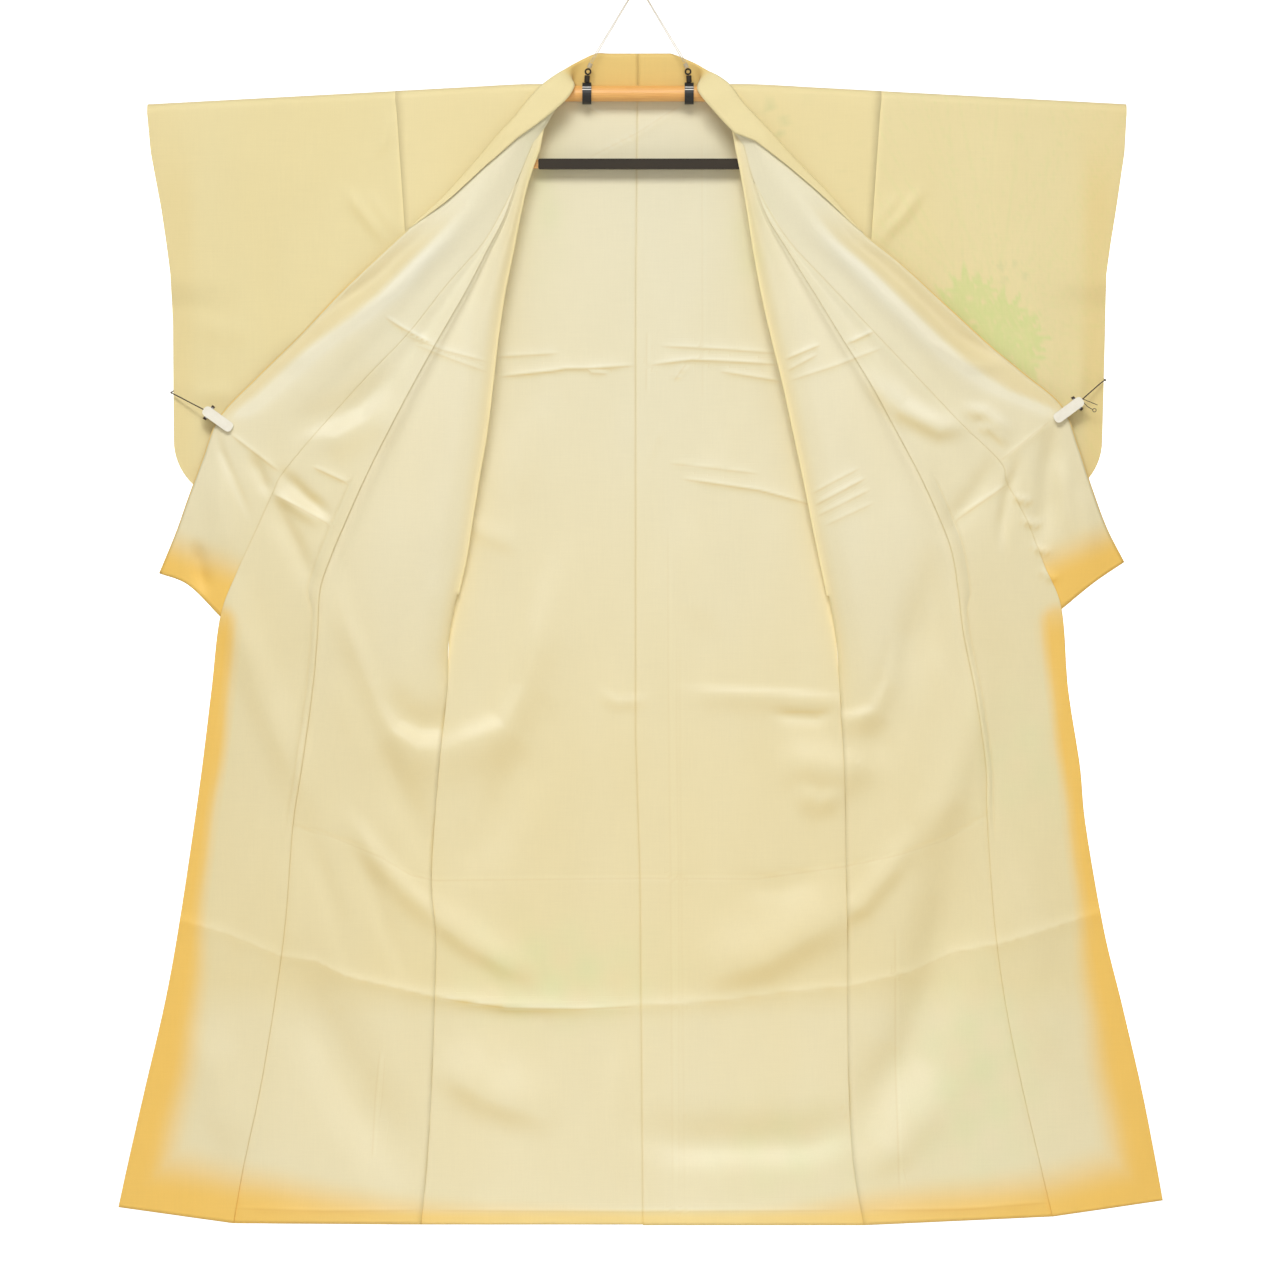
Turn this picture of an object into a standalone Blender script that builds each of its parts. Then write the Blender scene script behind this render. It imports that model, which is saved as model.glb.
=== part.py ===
"""A lined kimono hung open on a kimono hanger.

Units are metres, +Z is up and the garment's inside faces -Y.
The origin is the point where a hook bears inside the top of the hanging ring.
Tables are in millimetres: distances from the garment's centre line, drops
below the hanger rod's axis, and depths that grow away from the viewer.
"Right" and "left" are the wearer's, so the wearer's left lies towards +X.
"""

import math

import bmesh
import bpy
import numpy as np
from mathutils import Matrix, Vector

MM = 0.001

# Cloth
CLOTH = 1.4
LINING = 1.0
GAP = 0.3
SEAM_TRIM = 0.15
BACK_LINING_TRIM = 1.2
FOLD_SPACING = 4.4

# Hanger
ROD_DROP = 165.5
ROD_RADIUS = 10.75
ROD_CENTRE_HALF = 156.0
ROD_ARM_END = 643.0
ROD_ARM_SLOPE = 0.0535
STRAP_OFFSET = 68.5
STRAP_WIDTH = 12.0
RING_INNER_RADIUS = 8.5
RING_WIRE = 3.0

# Garment
BACK_DEPTH = 14.8
HANG_RADIUS = 12.1
NECK_HALF = 97.8
BACK_NECK_DROP = 4.7
SLEEVE_BOTTOM = 545.0
SLEEVE_CORNER = 80.0
WRIST_OPENING = 250.0
ARMHOLE_DROP = 184.0
BACK_LEAF_NARROWER = 8.0

# Rows of each front, from the neck (0) to the hem (20). A row joins four points:
# the lapel fold (the side seam from row 13 on), the okumi seam, the collar seam
# and the free edge. Each point is (distance from centre, drop).
RIGHT_FRONT = (
    ((134, 76), (141, 69), (141, 69), (184, 54)),
    ((149, 119), (162, 119), (162, 119), (217, 93)),
    ((159, 161), (178, 165), (184, 163), (260, 140)),
    ((169, 212), (202, 212), (209, 204), (306, 182)),
    ((180, 266), (230, 266), (257, 259), (351, 223)),
    ((189, 325), (264, 325), (306, 321), (402, 271)),
    ((197, 395), (303, 395), (367, 385), (457, 329)),
    ((205, 459), (335, 456), (431, 456), (512, 383)),
    ((214, 510), (362, 510), (476, 511), (560, 434)),
    ((225, 578), (395, 584), (489, 537), (583, 490)),
    ((232, 622), (410, 620), (513, 590), (603, 545)),
    ((243, 671), (425, 665), (536, 640), (619, 590)),
    ((254, 732), (429, 727), (559, 701), (641, 643)),
    ((256, 799), (436, 799), (571, 797), (571, 797)),
    ((268, 913), (450, 900), (584, 902), (584, 902)),
    ((277, 1050), (463, 983), (596, 987), (596, 987)),
    ((271, 1130), (473, 1110), (616, 1118), (616, 1118)),
    ((273, 1221), (488, 1221), (635, 1221), (635, 1221)),
    ((277, 1335), (507, 1335), (661, 1333), (661, 1333)),
    ((283, 1436), (529, 1437), (683, 1429), (683, 1429)),
    ((291, 1517), (543, 1515), (697, 1493), (697, 1493)),
)
LEFT_FRONT = (
    ((134, 79), (142, 73), (142, 73), (177, 54)),
    ((142, 119), (155, 119), (155, 119), (213, 93)),
    ((149, 161), (172, 165), (178, 163), (255, 136)),
    ((157, 212), (200, 212), (206, 204), (300, 187)),
    ((168, 271), (237, 271), (256, 257), (354, 231)),
    ((181, 328), (272, 328), (319, 324), (413, 285)),
    ((196, 389), (310, 389), (379, 387), (469, 336)),
    ((212, 462), (350, 462), (433, 444), (517, 376)),
    ((224, 518), (378, 515), (485, 495), (567, 419)),
    ((236, 578), (406, 577), (494, 523), (590, 475)),
    ((246, 625), (420, 617), (520, 572), (607, 527)),
    ((256, 673), (428, 665), (544, 633), (627, 581)),
    ((266, 732), (436, 727), (567, 691), (651, 628)),
    ((271, 806), (452, 806), (576, 797), (576, 797)),
    ((277, 913), (466, 900), (592, 900), (592, 900)),
    ((279, 1035), (468, 967), (600, 980), (600, 980)),
    ((281, 1125), (478, 1110), (624, 1118), (624, 1118)),
    ((281, 1221), (493, 1221), (649, 1221), (649, 1221)),
    ((283, 1335), (516, 1335), (675, 1333), (675, 1333)),
    ((289, 1436), (540, 1437), (694, 1429), (694, 1429)),
    ((303, 1518), (556, 1506), (704, 1484), (704, 1484)),
)

# Depth of the same rows: the lapel fold, the swell beside it, the trough before
# the okumi seam, the seam's raised ridge, the okumi's middle, the collar seam,
# the collar's lengthwise crest and its edge.
DEPTH_COLUMNS = ("fold", "swell", "trough", "ridge", "okumi", "seam", "crest", "edge")
FRONT_DEPTHS = (
    (-16.5, -16.8, -17.0, -17.0, -16.8, -17.0, -25.0, -20.0),
    (-16.2, -17.5, -17.0, -18.0, -18.0, -18.0, -26.0, -19.0),
    (-16.2, -19.0, -16.5, -20.0, -19.5, -18.5, -27.0, -18.0),
    (-16.2, -20.0, -15.5, -22.0, -20.0, -18.5, -27.0, -17.5),
    (-16.2, -20.5, -15.0, -23.5, -20.5, -18.5, -26.5, -17.0),
    (-16.2, -20.5, -15.0, -24.0, -21.0, -18.5, -26.0, -17.0),
    (-16.2, -20.0, -15.0, -24.0, -21.5, -18.5, -25.0, -17.0),
    (-14.2, -19.0, -14.5, -23.0, -21.0, -18.5, -22.5, -17.5),
    (-12.0, -17.0, -13.5, -21.0, -19.5, -18.5, -18.5, -18.0),
    (-7.5, -15.0, -12.0, -19.0, -18.0, -17.0, -18.0, -14.0),
    (-2.0, -11.5, -10.0, -16.5, -16.0, -15.0, -17.0, -13.0),
    (4.0, -6.0, -7.0, -12.5, -13.5, -13.0, -15.0, -12.0),
    (11.0, 1.0, -2.0, -8.0, -10.0, -10.5, -12.0, -10.0),
    (14.8, 7.0, 4.0, -1.0, -4.0, -6.0, -6.0, -6.0),
    (14.8, 10.0, 7.0, 4.0, 0.0, -1.0, -1.0, -1.0),
    (14.8, 11.5, 9.0, 6.0, 3.0, 2.0, 2.0, 2.0),
    (14.8, 11.0, 9.5, 7.0, 5.0, 4.0, 4.0, 4.0),
    (14.8, 12.0, 10.0, 8.5, 6.0, 5.0, 5.0, 5.0),
    (14.8, 12.5, 11.0, 9.0, 7.0, 6.0, 6.0, 6.0),
    (14.8, 13.0, 11.5, 10.0, 8.5, 7.0, 7.0, 7.0),
    (14.8, 13.5, 12.5, 11.0, 9.5, 8.0, 8.0, 8.0),
)
FIRST_SIDE_SEAM_ROW = 13
COLLAR_END_ROW = 12
CLIP_ROW = 8
OKUMI_TIP_ROW = 2
OKUMI_JOIN_ROW = 9
HEM_FACING_ROW = 15

# Depth of the front's under layer beside the fold, for rows 0 to 11.
UNDER_DEPTHS = (-12.1, -12.1, -12.1, -12.1, -12.1, -12.1, -12.1,
                -9.8, -7.6, -3.1, 2.4, 8.4)
LAST_FOLD_ROW = 11

# Columns across the shoulders, one of them over the rod's bend at 156 mm.
UNDER_SHARES = (0.0, 0.37, 0.744, 1.0)
BACK_SHARES = (0.0, 0.256, 0.63, 1.0)

# Width of collar that is still folded over towards the viewer, for rows 0 to 2.
FOLDED_WIDTHS = (25.0, 15.0, 9.0)
FOLD_CLEARANCE = 3.0
FLAP_CLEARANCE = 4.6

# Sections of the collar from the centre back (first) round the neck to front
# row 0. Each point is (distance from centre, drop, depth): the neck seam, the
# middle of the outer half, the crease and the free edge of the inner half.
RIGHT_NECK = (
    ((0, 14, 16.6), (0, -20, 18.5), (0, -53, 17.0), (0, 4.0, 13.6)),
    ((38, 14, 16.6), (38, -20, 18.5), (38, -53, 17.0), (38, 4.0, 13.6)),
    ((74, 14, 16.6), (66, -20, 18.5), (57, -53, 17.0), (70, 4.0, 13.6)),
    ((88, 6, 17.5), (86, -18, 17.0), (80, -43, 12.5), (87, -16, 13.2)),
    ((95, -15, 11.5), (97, -25, 8.0), (97, -33, 3.0), (88, -18, -2.0)),
    ((95, -16, 0.0), (101, -24, -3.0), (110, -24, -8.0), (85, -8, -16.0)),
    ((99, -7, -14.5), (110, -8, -16.2), (125, -12, -15.0), (94, 8, -23.0)),
    ((108, 18, -15.0), (119, 8, -18.0), (140, 3, -17.5), (113, 26, -25.0)),
    ((123, 44, -15.5), (128, 37, -22.0), (165, 34, -19.5), (137, 45, -28.0)),
)
LEFT_NECK = (
    ((0, 14, 16.6), (0, -20, 18.5), (0, -53, 17.0), (0, 4.0, 13.6)),
    ((38, 14, 16.6), (38, -20, 18.5), (38, -53, 17.0), (38, 4.0, 13.6)),
    ((74, 14, 16.6), (62, -20, 18.5), (49, -52, 17.0), (66, 4.0, 13.6)),
    ((88, 6, 17.5), (84, -18, 17.0), (76, -41, 12.5), (83, -16, 13.2)),
    ((95, -15, 11.5), (95, -25, 8.0), (93, -31, 3.0), (83, -18, -2.0)),
    ((95, -16, 0.0), (100, -23, -3.0), (108, -22, -8.0), (79, -5, -16.0)),
    ((99, -7, -14.5), (109, -6, -16.2), (123, -9, -15.0), (88, 10, -23.0)),
    ((108, 20, -15.0), (120, 12, -18.0), (139, 13, -17.5), (107, 32, -25.0)),
    ((125, 48, -15.5), (129, 42, -22.0), (160, 36, -19.5), (128, 55, -28.0)),
)

# The front's edge between shoulder and row 0: (drop, distance from centre).
NECK_EDGE = ((-12, 97.8), (0, 103.0), (19, 110.5), (46, 127.0))

# Body side edge from the armhole down: (drop, right side, left side).
SIDE_EDGE = (
    (-12, 325, 326),
    (184, 312, 313),
    (344, 300, 302),
    (571, 275, 285),
    (671, 262, 273),
    (732, 254, 266),
    (799, 256, 271),
)

# Centre back seam: (drop, offset towards +X).
CENTRE_SEAM = ((0, -1.0), (280, -3.4), (860, -3.4), (1052, 2.5), (1520, 6.5))

# Sleeve cuff edge: (drop, right sleeve, left sleeve), distances from centre.
CUFF_EDGE = (
    (0, 657, 654),
    (62, 652, 651),
    (149, 638, 640),
    (242, 626, 627),
    (312, 623, 626),
    (465, 622, 622),
)

# Clips: right and left (distance from hanger centre, drop) and slope in degrees.
CLIPS = {"right": (-561.5, 437.0, -35.5), "left": (575.5, 424.8, 36.5)}
CLIP_LENGTH = 46.0
CLIP_WIDTH = 14.0
CLIP_JAW = 4.0
CLIP_FRONT_DEPTH = -21.0
CLIP_BACK_DEPTH = -16.0

SIDES = {"right": -1, "left": 1}
FRONTS = {"right": RIGHT_FRONT, "left": LEFT_FRONT}
NECKS = {"right": RIGHT_NECK, "left": LEFT_NECK}
SIDE_COLUMN = {"right": 1, "left": 2}


def clear_scene():
    for obj in list(bpy.data.objects):
        bpy.data.objects.remove(obj, do_unlink=True)


def material(name, colour, roughness, metallic=0.0):
    found = bpy.data.materials.get(name)
    if found:
        return found
    made = bpy.data.materials.new(name)
    made.use_nodes = True
    shader = made.node_tree.nodes["Principled BSDF"]
    shader.inputs["Base Color"].default_value = (*colour, 1.0)
    shader.inputs["Roughness"].default_value = roughness
    shader.inputs["Metallic"].default_value = metallic
    return made


def outer_cloth():
    return material("straw_silk", (0.80, 0.68, 0.38), 0.55)


def lining_cloth():
    return material("cream_lining", (0.83, 0.78, 0.57), 0.6)


def hem_cloth():
    return material("gold_hem_lining", (0.85, 0.72, 0.42), 0.6)


def wood():
    return material("orange_wood", (0.80, 0.45, 0.15), 0.35)


def black_plastic():
    return material("black_strap", (0.03, 0.03, 0.025), 0.5)


def white_plastic():
    return material("cream_plastic", (0.80, 0.78, 0.70), 0.4)


def dark_elastic():
    return material("dark_elastic", (0.08, 0.06, 0.05), 0.7)


def clear_nylon():
    return material("clear_nylon", (0.88, 0.88, 0.84), 0.25)


def steel():
    return material("steel", (0.65, 0.65, 0.66), 0.25, 1.0)


def world(x, drop, depth):
    """Hanger millimetres to metres in the part's frame."""
    return Vector((x, depth, -(ROD_DROP + drop))) * MM


def garment(side, distance, drop, depth):
    """A garment point in hanger millimetres, as x, drop, depth."""
    return (SIDES[side] * distance, drop, depth)


def column(table, index):
    return [row[0] for row in table], [row[index] for row in table]


def lookup(table, index, at):
    xs, ys = column(table, index)
    return float(np.interp(at, xs, ys))


def rod_sag(x):
    """How far the sloping rod arm lies below the middle of the rod."""
    return max(0.0, ROD_ARM_SLOPE * (abs(x) - ROD_CENTRE_HALF))


def blend(a, b, share):
    return tuple(p + (q - p) * share for p, q in zip(a, b))


def through(points, counts):
    """Points along a chain of knots, with counts[i] steps between knots i and i + 1,
    on a smooth curve that passes through the knots."""
    knots = [np.array(p, float) for p in points]
    ends = [2 * knots[0] - knots[1]] + knots + [2 * knots[-1] - knots[-2]]
    chain = []
    for i, count in enumerate(counts):
        a, b, c, d = ends[i:i + 4]
        for step in range(count):
            t = step / count
            chain.append(0.5 * (2 * b + (c - a) * t + (2 * a - 5 * b + 4 * c - d) * t ** 2
                                + (3 * b - a - 3 * c + d) * t ** 3))
    chain.append(knots[-1])
    return chain


def grid_normals(grid, keep, outward):
    """Vertex normals of a grid of points, the mean of the faces round each, turned outward."""
    normals = np.zeros_like(grid)
    rows, cols = keep.shape
    for i in range(rows):
        for j in range(cols):
            if not keep[i, j]:
                continue
            corners = ((i, j), (i, j + 1), (i + 1, j + 1), (i + 1, j))
            a, b, c, d = (grid[k] for k in corners)
            face = np.cross(c - a, d - b) * outward
            for k in corners:
                normals[k] += face / max(np.linalg.norm(face), 1e-6)
    lengths = np.linalg.norm(normals, axis=2, keepdims=True)
    return normals / np.maximum(lengths, 1e-9)


def trimmed(grid, keep, trims):
    """Pull the named borders of a grid back in its own surface."""
    grid = grid.copy()
    rows, cols = grid.shape[:2]
    used = np.zeros((rows, cols), bool)
    used[:-1, :-1] |= keep
    used[1:, :-1] |= keep
    used[:-1, 1:] |= keep
    used[1:, 1:] |= keep
    source = grid.copy()
    for border, amount in trims.items():
        for i in range(rows):
            line = [j for j in range(cols) if used[i, j]]
            if border == "first" and line:
                move(grid, source, (i, line[0]), (i, line[1]), amount)
            if border == "last" and line:
                move(grid, source, (i, line[-1]), (i, line[-2]), amount)
        for j in range(cols):
            line = [i for i in range(rows) if used[i, j]]
            if border == "top" and line:
                move(grid, source, (line[0], j), (line[1], j), amount)
            if border == "bottom" and line:
                move(grid, source, (line[-1], j), (line[-2], j), amount)
    return grid


def move(grid, source, at, towards, amount):
    step = source[towards] - source[at]
    length = np.linalg.norm(step)
    if length > 1e-6:
        grid[at] += step / length * min(amount, 0.45 * length)


def wall(name, grid, normals, keep, outside, inside, finish):
    """A closed cloth wall between two offsets of a grid, cells where keep is true."""
    mesh = bpy.data.meshes.new(name)
    bm = bmesh.new()
    skins = []
    for offset in (outside, inside):
        skin = {}
        moved = grid + normals * offset
        for i, j in np.argwhere(keep):
            for k in ((i, j), (i, j + 1), (i + 1, j + 1), (i + 1, j)):
                if k not in skin:
                    skin[k] = bm.verts.new(world(*moved[k]))
        skins.append(skin)
    top, bottom = skins
    border = {}
    for i, j in np.argwhere(keep):
        ring = [(i, j), (i, j + 1), (i + 1, j + 1), (i + 1, j)]
        for corners in ((0, 1, 2), (0, 2, 3)):
            bm.faces.new([top[ring[k]] for k in corners])
            bm.faces.new([bottom[ring[k]] for k in reversed(corners)])
        for a, b in zip(ring, ring[1:] + ring[:1]):
            if (b, a) in border:
                del border[(b, a)]
            else:
                border[(a, b)] = True
    for a, b in border:
        bm.faces.new([top[b], top[a], bottom[a], bottom[b]])
    bmesh.ops.recalc_face_normals(bm, faces=bm.faces[:])
    bm.to_mesh(mesh)
    bm.free()
    return finished(name, mesh, finish)


def finished(name, mesh, finish):
    mesh.materials.append(finish)
    obj = bpy.data.objects.new(name, mesh)
    bpy.context.scene.collection.objects.link(obj)
    return obj


def full(grid):
    return np.ones((grid.shape[0] - 1, grid.shape[1] - 1), bool)


FRONT_STEPS = 6
OKUMI_STEPS = 3
COLLAR_STEPS = 6
FOLDED_STEPS = 3
NECK_STEPS = (1, 1, 2, 2, 2, 2, 2, 1)


def front_row(side, k):
    """The opened front at row k: points from the lapel fold to the free edge."""
    fold, okumi, seam, edge = FRONTS[side][k]
    depth = dict(zip(DEPTH_COLUMNS, FRONT_DEPTHS[k]))
    swell = blend(fold, okumi, 0.3)
    trough = blend(fold, okumi, 0.78)
    middle = blend(okumi, seam, 0.5)
    crest = blend(seam, edge, 0.52)
    knots = [(*fold, depth["fold"]), (*swell, depth["swell"]), (*trough, depth["trough"]),
             (*okumi, depth["ridge"])]
    row = through(knots, (2, 2, 2))
    knots = [(*okumi, depth["ridge"]), (*middle, depth["okumi"]), (*seam, depth["seam"])]
    row += through(knots, (1, 2))[1:]
    if k <= COLLAR_END_ROW:
        knots = [(*seam, depth["seam"]), (*crest, depth["crest"]), (*edge, depth["edge"])]
        row += through(knots, (3, 3))[1:]
    else:
        row += [np.array((*edge, depth["edge"]), float)] * COLLAR_STEPS
    return [np.array(garment(side, *p)) for p in row]


def front_grid(side):
    return np.array([front_row(side, k) for k in range(len(FRONT_DEPTHS))])


def neck_section(side, knots):
    """The collar at one section round the neck, from its seam to its free edge."""
    seam, middle, crease, free = (np.array(garment(side, *p)) for p in knots)
    outer = through([seam, middle, crease], (3, 3))
    near = crease + fold_direction(crease - outer[-2], free - crease) * FOLD_CLEARANCE
    half = blend_array(near, free, 0.5)
    if half[2] < 0.0:
        half[2] = min(half[2], middle[2] - FLAP_CLEARANCE)
    return outer + [near, half, free]


def fold_direction(run, turn):
    """The direction in which the cloth turns back: square to the run, and to the viewer."""
    run = run / np.linalg.norm(run)
    across = turn - run * np.dot(turn, run)
    across = across / np.linalg.norm(across) + np.array((0.0, 0.0, -2.0))
    return across / np.linalg.norm(across)


def folded_over(side, k, row):
    """The part of the collar still folded towards the viewer at front row k."""
    edge = row[-1]
    if k >= len(FOLDED_WIDTHS):
        return [edge] * FOLDED_STEPS
    towards_viewer = np.array((0.0, 0.0, -1.0))
    points = [edge + towards_viewer * FOLD_CLEARANCE]
    for share in (0.5, 1.0):
        below = along_chain(row[::-1], FOLDED_WIDTHS[k] * share)
        points.append(below + towards_viewer * FLAP_CLEARANCE)
    return points


def along_chain(chain, distance):
    """The point a given distance along a chain of points."""
    for a, b in zip(chain, chain[1:]):
        length = np.linalg.norm(b - a)
        if distance <= length:
            return a + (b - a) * (distance / length)
        distance -= length
    return chain[-1]


def blend_array(a, b, share):
    return a + (b - a) * share


def collar_grid(side, fronts):
    """Collar sections from the centre back to the collar's tip."""
    first = FRONT_STEPS + OKUMI_STEPS
    lines = [through(line, NECK_STEPS) for line in zip(*NECKS[side])]
    grid = [neck_section(side, knots) for knots in zip(*lines)]
    for k in range(COLLAR_END_ROW + 1):
        row = list(fronts[k][first:])
        grid.append(row + folded_over(side, k, row))
    return np.array(grid)


def under_rows(side):
    """The front's under layer from the shoulder to row 12, side edge to fold."""
    rows = []
    for angle in SHOULDER_ANGLES:
        rows.append([rod_wrap(side, x, angle, -HANG_RADIUS) for x in under_spread(side, -12)])
    for drop, _ in NECK_EDGE[2:]:
        rows.append([hung(side, x, drop, -HANG_RADIUS) for x in under_spread(side, drop)])
    for k in range(LAST_FOLD_ROW + 1):
        fold_x, fold_drop = FRONTS[side][k][0]
        outer = lookup(SIDE_EDGE, SIDE_COLUMN[side], fold_drop)
        depth = UNDER_DEPTHS[k]
        sewn = min(max((k - 6) / 5.0, 0.0), 1.0)
        edge_depth = depth + (BACK_DEPTH - CLOTH - GAP * 2 - LINING - CLOTH / 2 - depth) * sewn
        row = []
        for share in UNDER_SHARES:
            x = outer + (fold_x - outer) * share
            row.append(hung(side, x, fold_drop, edge_depth + (depth - edge_depth) * share))
        rows.append(row)
    return rows


def under_spread(side, drop):
    outer = lookup(SIDE_EDGE, SIDE_COLUMN[side], drop)
    inner = lookup(NECK_EDGE, 1, max(drop, -12))
    return [outer + (inner - outer) * share for share in UNDER_SHARES]


SHOULDER_ANGLES = (0, 30, 60, 90)


def shoulder_normals(normals, facing):
    """Set the normals of the rows that lie round the rod square to its round."""
    for i, angle in enumerate(SHOULDER_ANGLES[:-1]):
        turn = math.radians(angle)
        normals[i] = (0.0, -math.cos(turn), facing * math.sin(turn))
    return normals


def rod_wrap(side, distance, angle, reach):
    """A point of cloth lying over the rod, at an angle from its top."""
    turn = math.radians(angle)
    x = SIDES[side] * distance
    rise = HANG_RADIUS * math.cos(turn)
    return np.array((x, rod_sag(x) - rise, reach * math.sin(turn)))


def hung(side, distance, drop, depth):
    """A point of cloth hanging from the sloping rod."""
    x = SIDES[side] * distance
    fade = max(0.0, 1.0 - drop / 200.0)
    return np.array((x, drop + rod_sag(x) * fade, depth))


def front_panel_grid(side, fronts):
    """The whole body front: under layer, lapel fold and opened layer."""
    under = under_rows(side)
    shoulder_rows = len(under) - (LAST_FOLD_ROW + 1)
    steps = FRONT_STEPS + 1
    grid = []
    keep = []
    for i in range(shoulder_rows):
        grid.append(under[i] + [under[i][-1]] * (1 + steps))
        keep.append([True] * 3 + [False] * (1 + steps))
    for k in range(len(FRONT_DEPTHS)):
        opened = list(fronts[k][:steps])
        if k <= LAST_FOLD_ROW:
            layer = under[shoulder_rows + k]
            turn = blend_array(layer[-1], opened[0], 0.5)
            turn = turn - np.array((SIDES[side] * FOLD_SPACING * 0.45, 0.0, 0.0))
            grid.append(layer + [turn] + opened)
        else:
            grid.append([opened[0]] * 5 + opened)
        keep.append([k < LAST_FOLD_ROW] * 5 + [True] * FRONT_STEPS)
    keep = np.array(keep[:-1])
    keep[shoulder_rows - 1, :] = [True] * 3 + [False] * (1 + steps)
    return np.array(grid), keep


def back_grid(side):
    """The body back from the shoulder to the hem, centre seam to side."""
    rows = []
    keep = []
    for angle in SHOULDER_ANGLES:
        outer = lookup(SIDE_EDGE, SIDE_COLUMN[side], -12)
        spread = [NECK_HALF + (outer - NECK_HALF) * share for share in BACK_SHARES]
        shoulder = [rod_wrap(side, x, angle, BACK_DEPTH) for x in spread]
        rows.append([shoulder[0]] * 3 + shoulder)
        keep.append([False] * 3 + [True] * 3)
    levels = [BACK_NECK_DROP, 30, 70, 125, 184, 260, 344, 460, 571, 660, 732]
    for drop in levels:
        outer = lookup(SIDE_EDGE, SIDE_COLUMN[side], drop)
        rows.append(back_row(side, drop, outer, drop))
        keep.append([True] * 6)
    for k in range(FIRST_SIDE_SEAM_ROW, len(FRONT_DEPTHS)):
        outer, drop = FRONTS[side][k][0]
        rows.append(back_row(side, drop, outer, drop))
        keep.append([True] * 6)
    keep = np.array(keep[:-1])
    return np.array(rows), keep


def back_row(side, drop, outer, level):
    centre = SIDES[side] * lookup(CENTRE_SEAM, 1, drop)
    inner = (centre, centre + 0.45 * (NECK_HALF - centre), 0.9 * NECK_HALF)
    spread = list(inner) + [NECK_HALF + (outer - NECK_HALF) * share for share in BACK_SHARES]
    return [hung(side, x, level, BACK_DEPTH) for x in spread]


def sleeve_grid(side, facing):
    """One leaf of a sleeve, from the fold over the rod to its bottom, body side to cuff."""
    shares = (0.0, 0.2, 0.45, 0.7, 0.9, 1.0)
    reach = HANG_RADIUS if facing < 0 else BACK_DEPTH
    rows = []
    for angle in SHOULDER_ANGLES:
        rows.append([rod_wrap(side, x, angle, facing * reach)
                     for x in sleeve_spread(side, -12, shares, facing)])
    levels = [22, 62, 105, 149, 200, WRIST_OPENING, 312, 390]
    rounding = [SLEEVE_BOTTOM - SLEEVE_CORNER * (1 - math.sin(math.radians(a)))
                for a in (0, 30, 55, 75, 90)]
    for level in levels + rounding:
        spread = sleeve_spread(side, level, shares, facing)
        depths = leaf_depths(level, shares, facing, reach)
        rows.append([hung(side, x, level, d) for x, d in zip(spread, depths)])
    return np.array(rows)


def sleeve_spread(side, level, shares, facing):
    inner = lookup(SIDE_EDGE, SIDE_COLUMN[side], min(level, 330))
    outer = lookup(CUFF_EDGE, SIDE_COLUMN[side], level)
    above = SLEEVE_BOTTOM - level
    if above < SLEEVE_CORNER:
        outer -= SLEEVE_CORNER - math.sqrt(SLEEVE_CORNER ** 2 - (SLEEVE_CORNER - above) ** 2)
    if facing > 0 and level < 90:
        outer -= BACK_LEAF_NARROWER
    return [inner + (outer - inner) * s for s in shares]


def leaf_depths(level, shares, facing, reach):
    """Leaves hang a little apart, and close at the bottom and below the wrist."""
    closed = CLOTH / 2 + GAP / 2
    above = SLEEVE_BOTTOM - level
    bottom = min(1.0, above / 35.0) ** 0.6
    depths = []
    for share in shares:
        cuff = 1.0
        if level > WRIST_OPENING:
            cuff = min(1.0, (1.0 - share) / 0.3)
        open_share = min(bottom, cuff if level > WRIST_OPENING + 30 else max(cuff, 0.5))
        fallen = max(0.0, level - ARMHOLE_DROP * (1.0 - share))
        hang = reach * (1 - 0.55 * fallen / SLEEVE_BOTTOM)
        depths.append(facing * (closed + (hang - closed) * open_share))
    return depths


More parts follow.
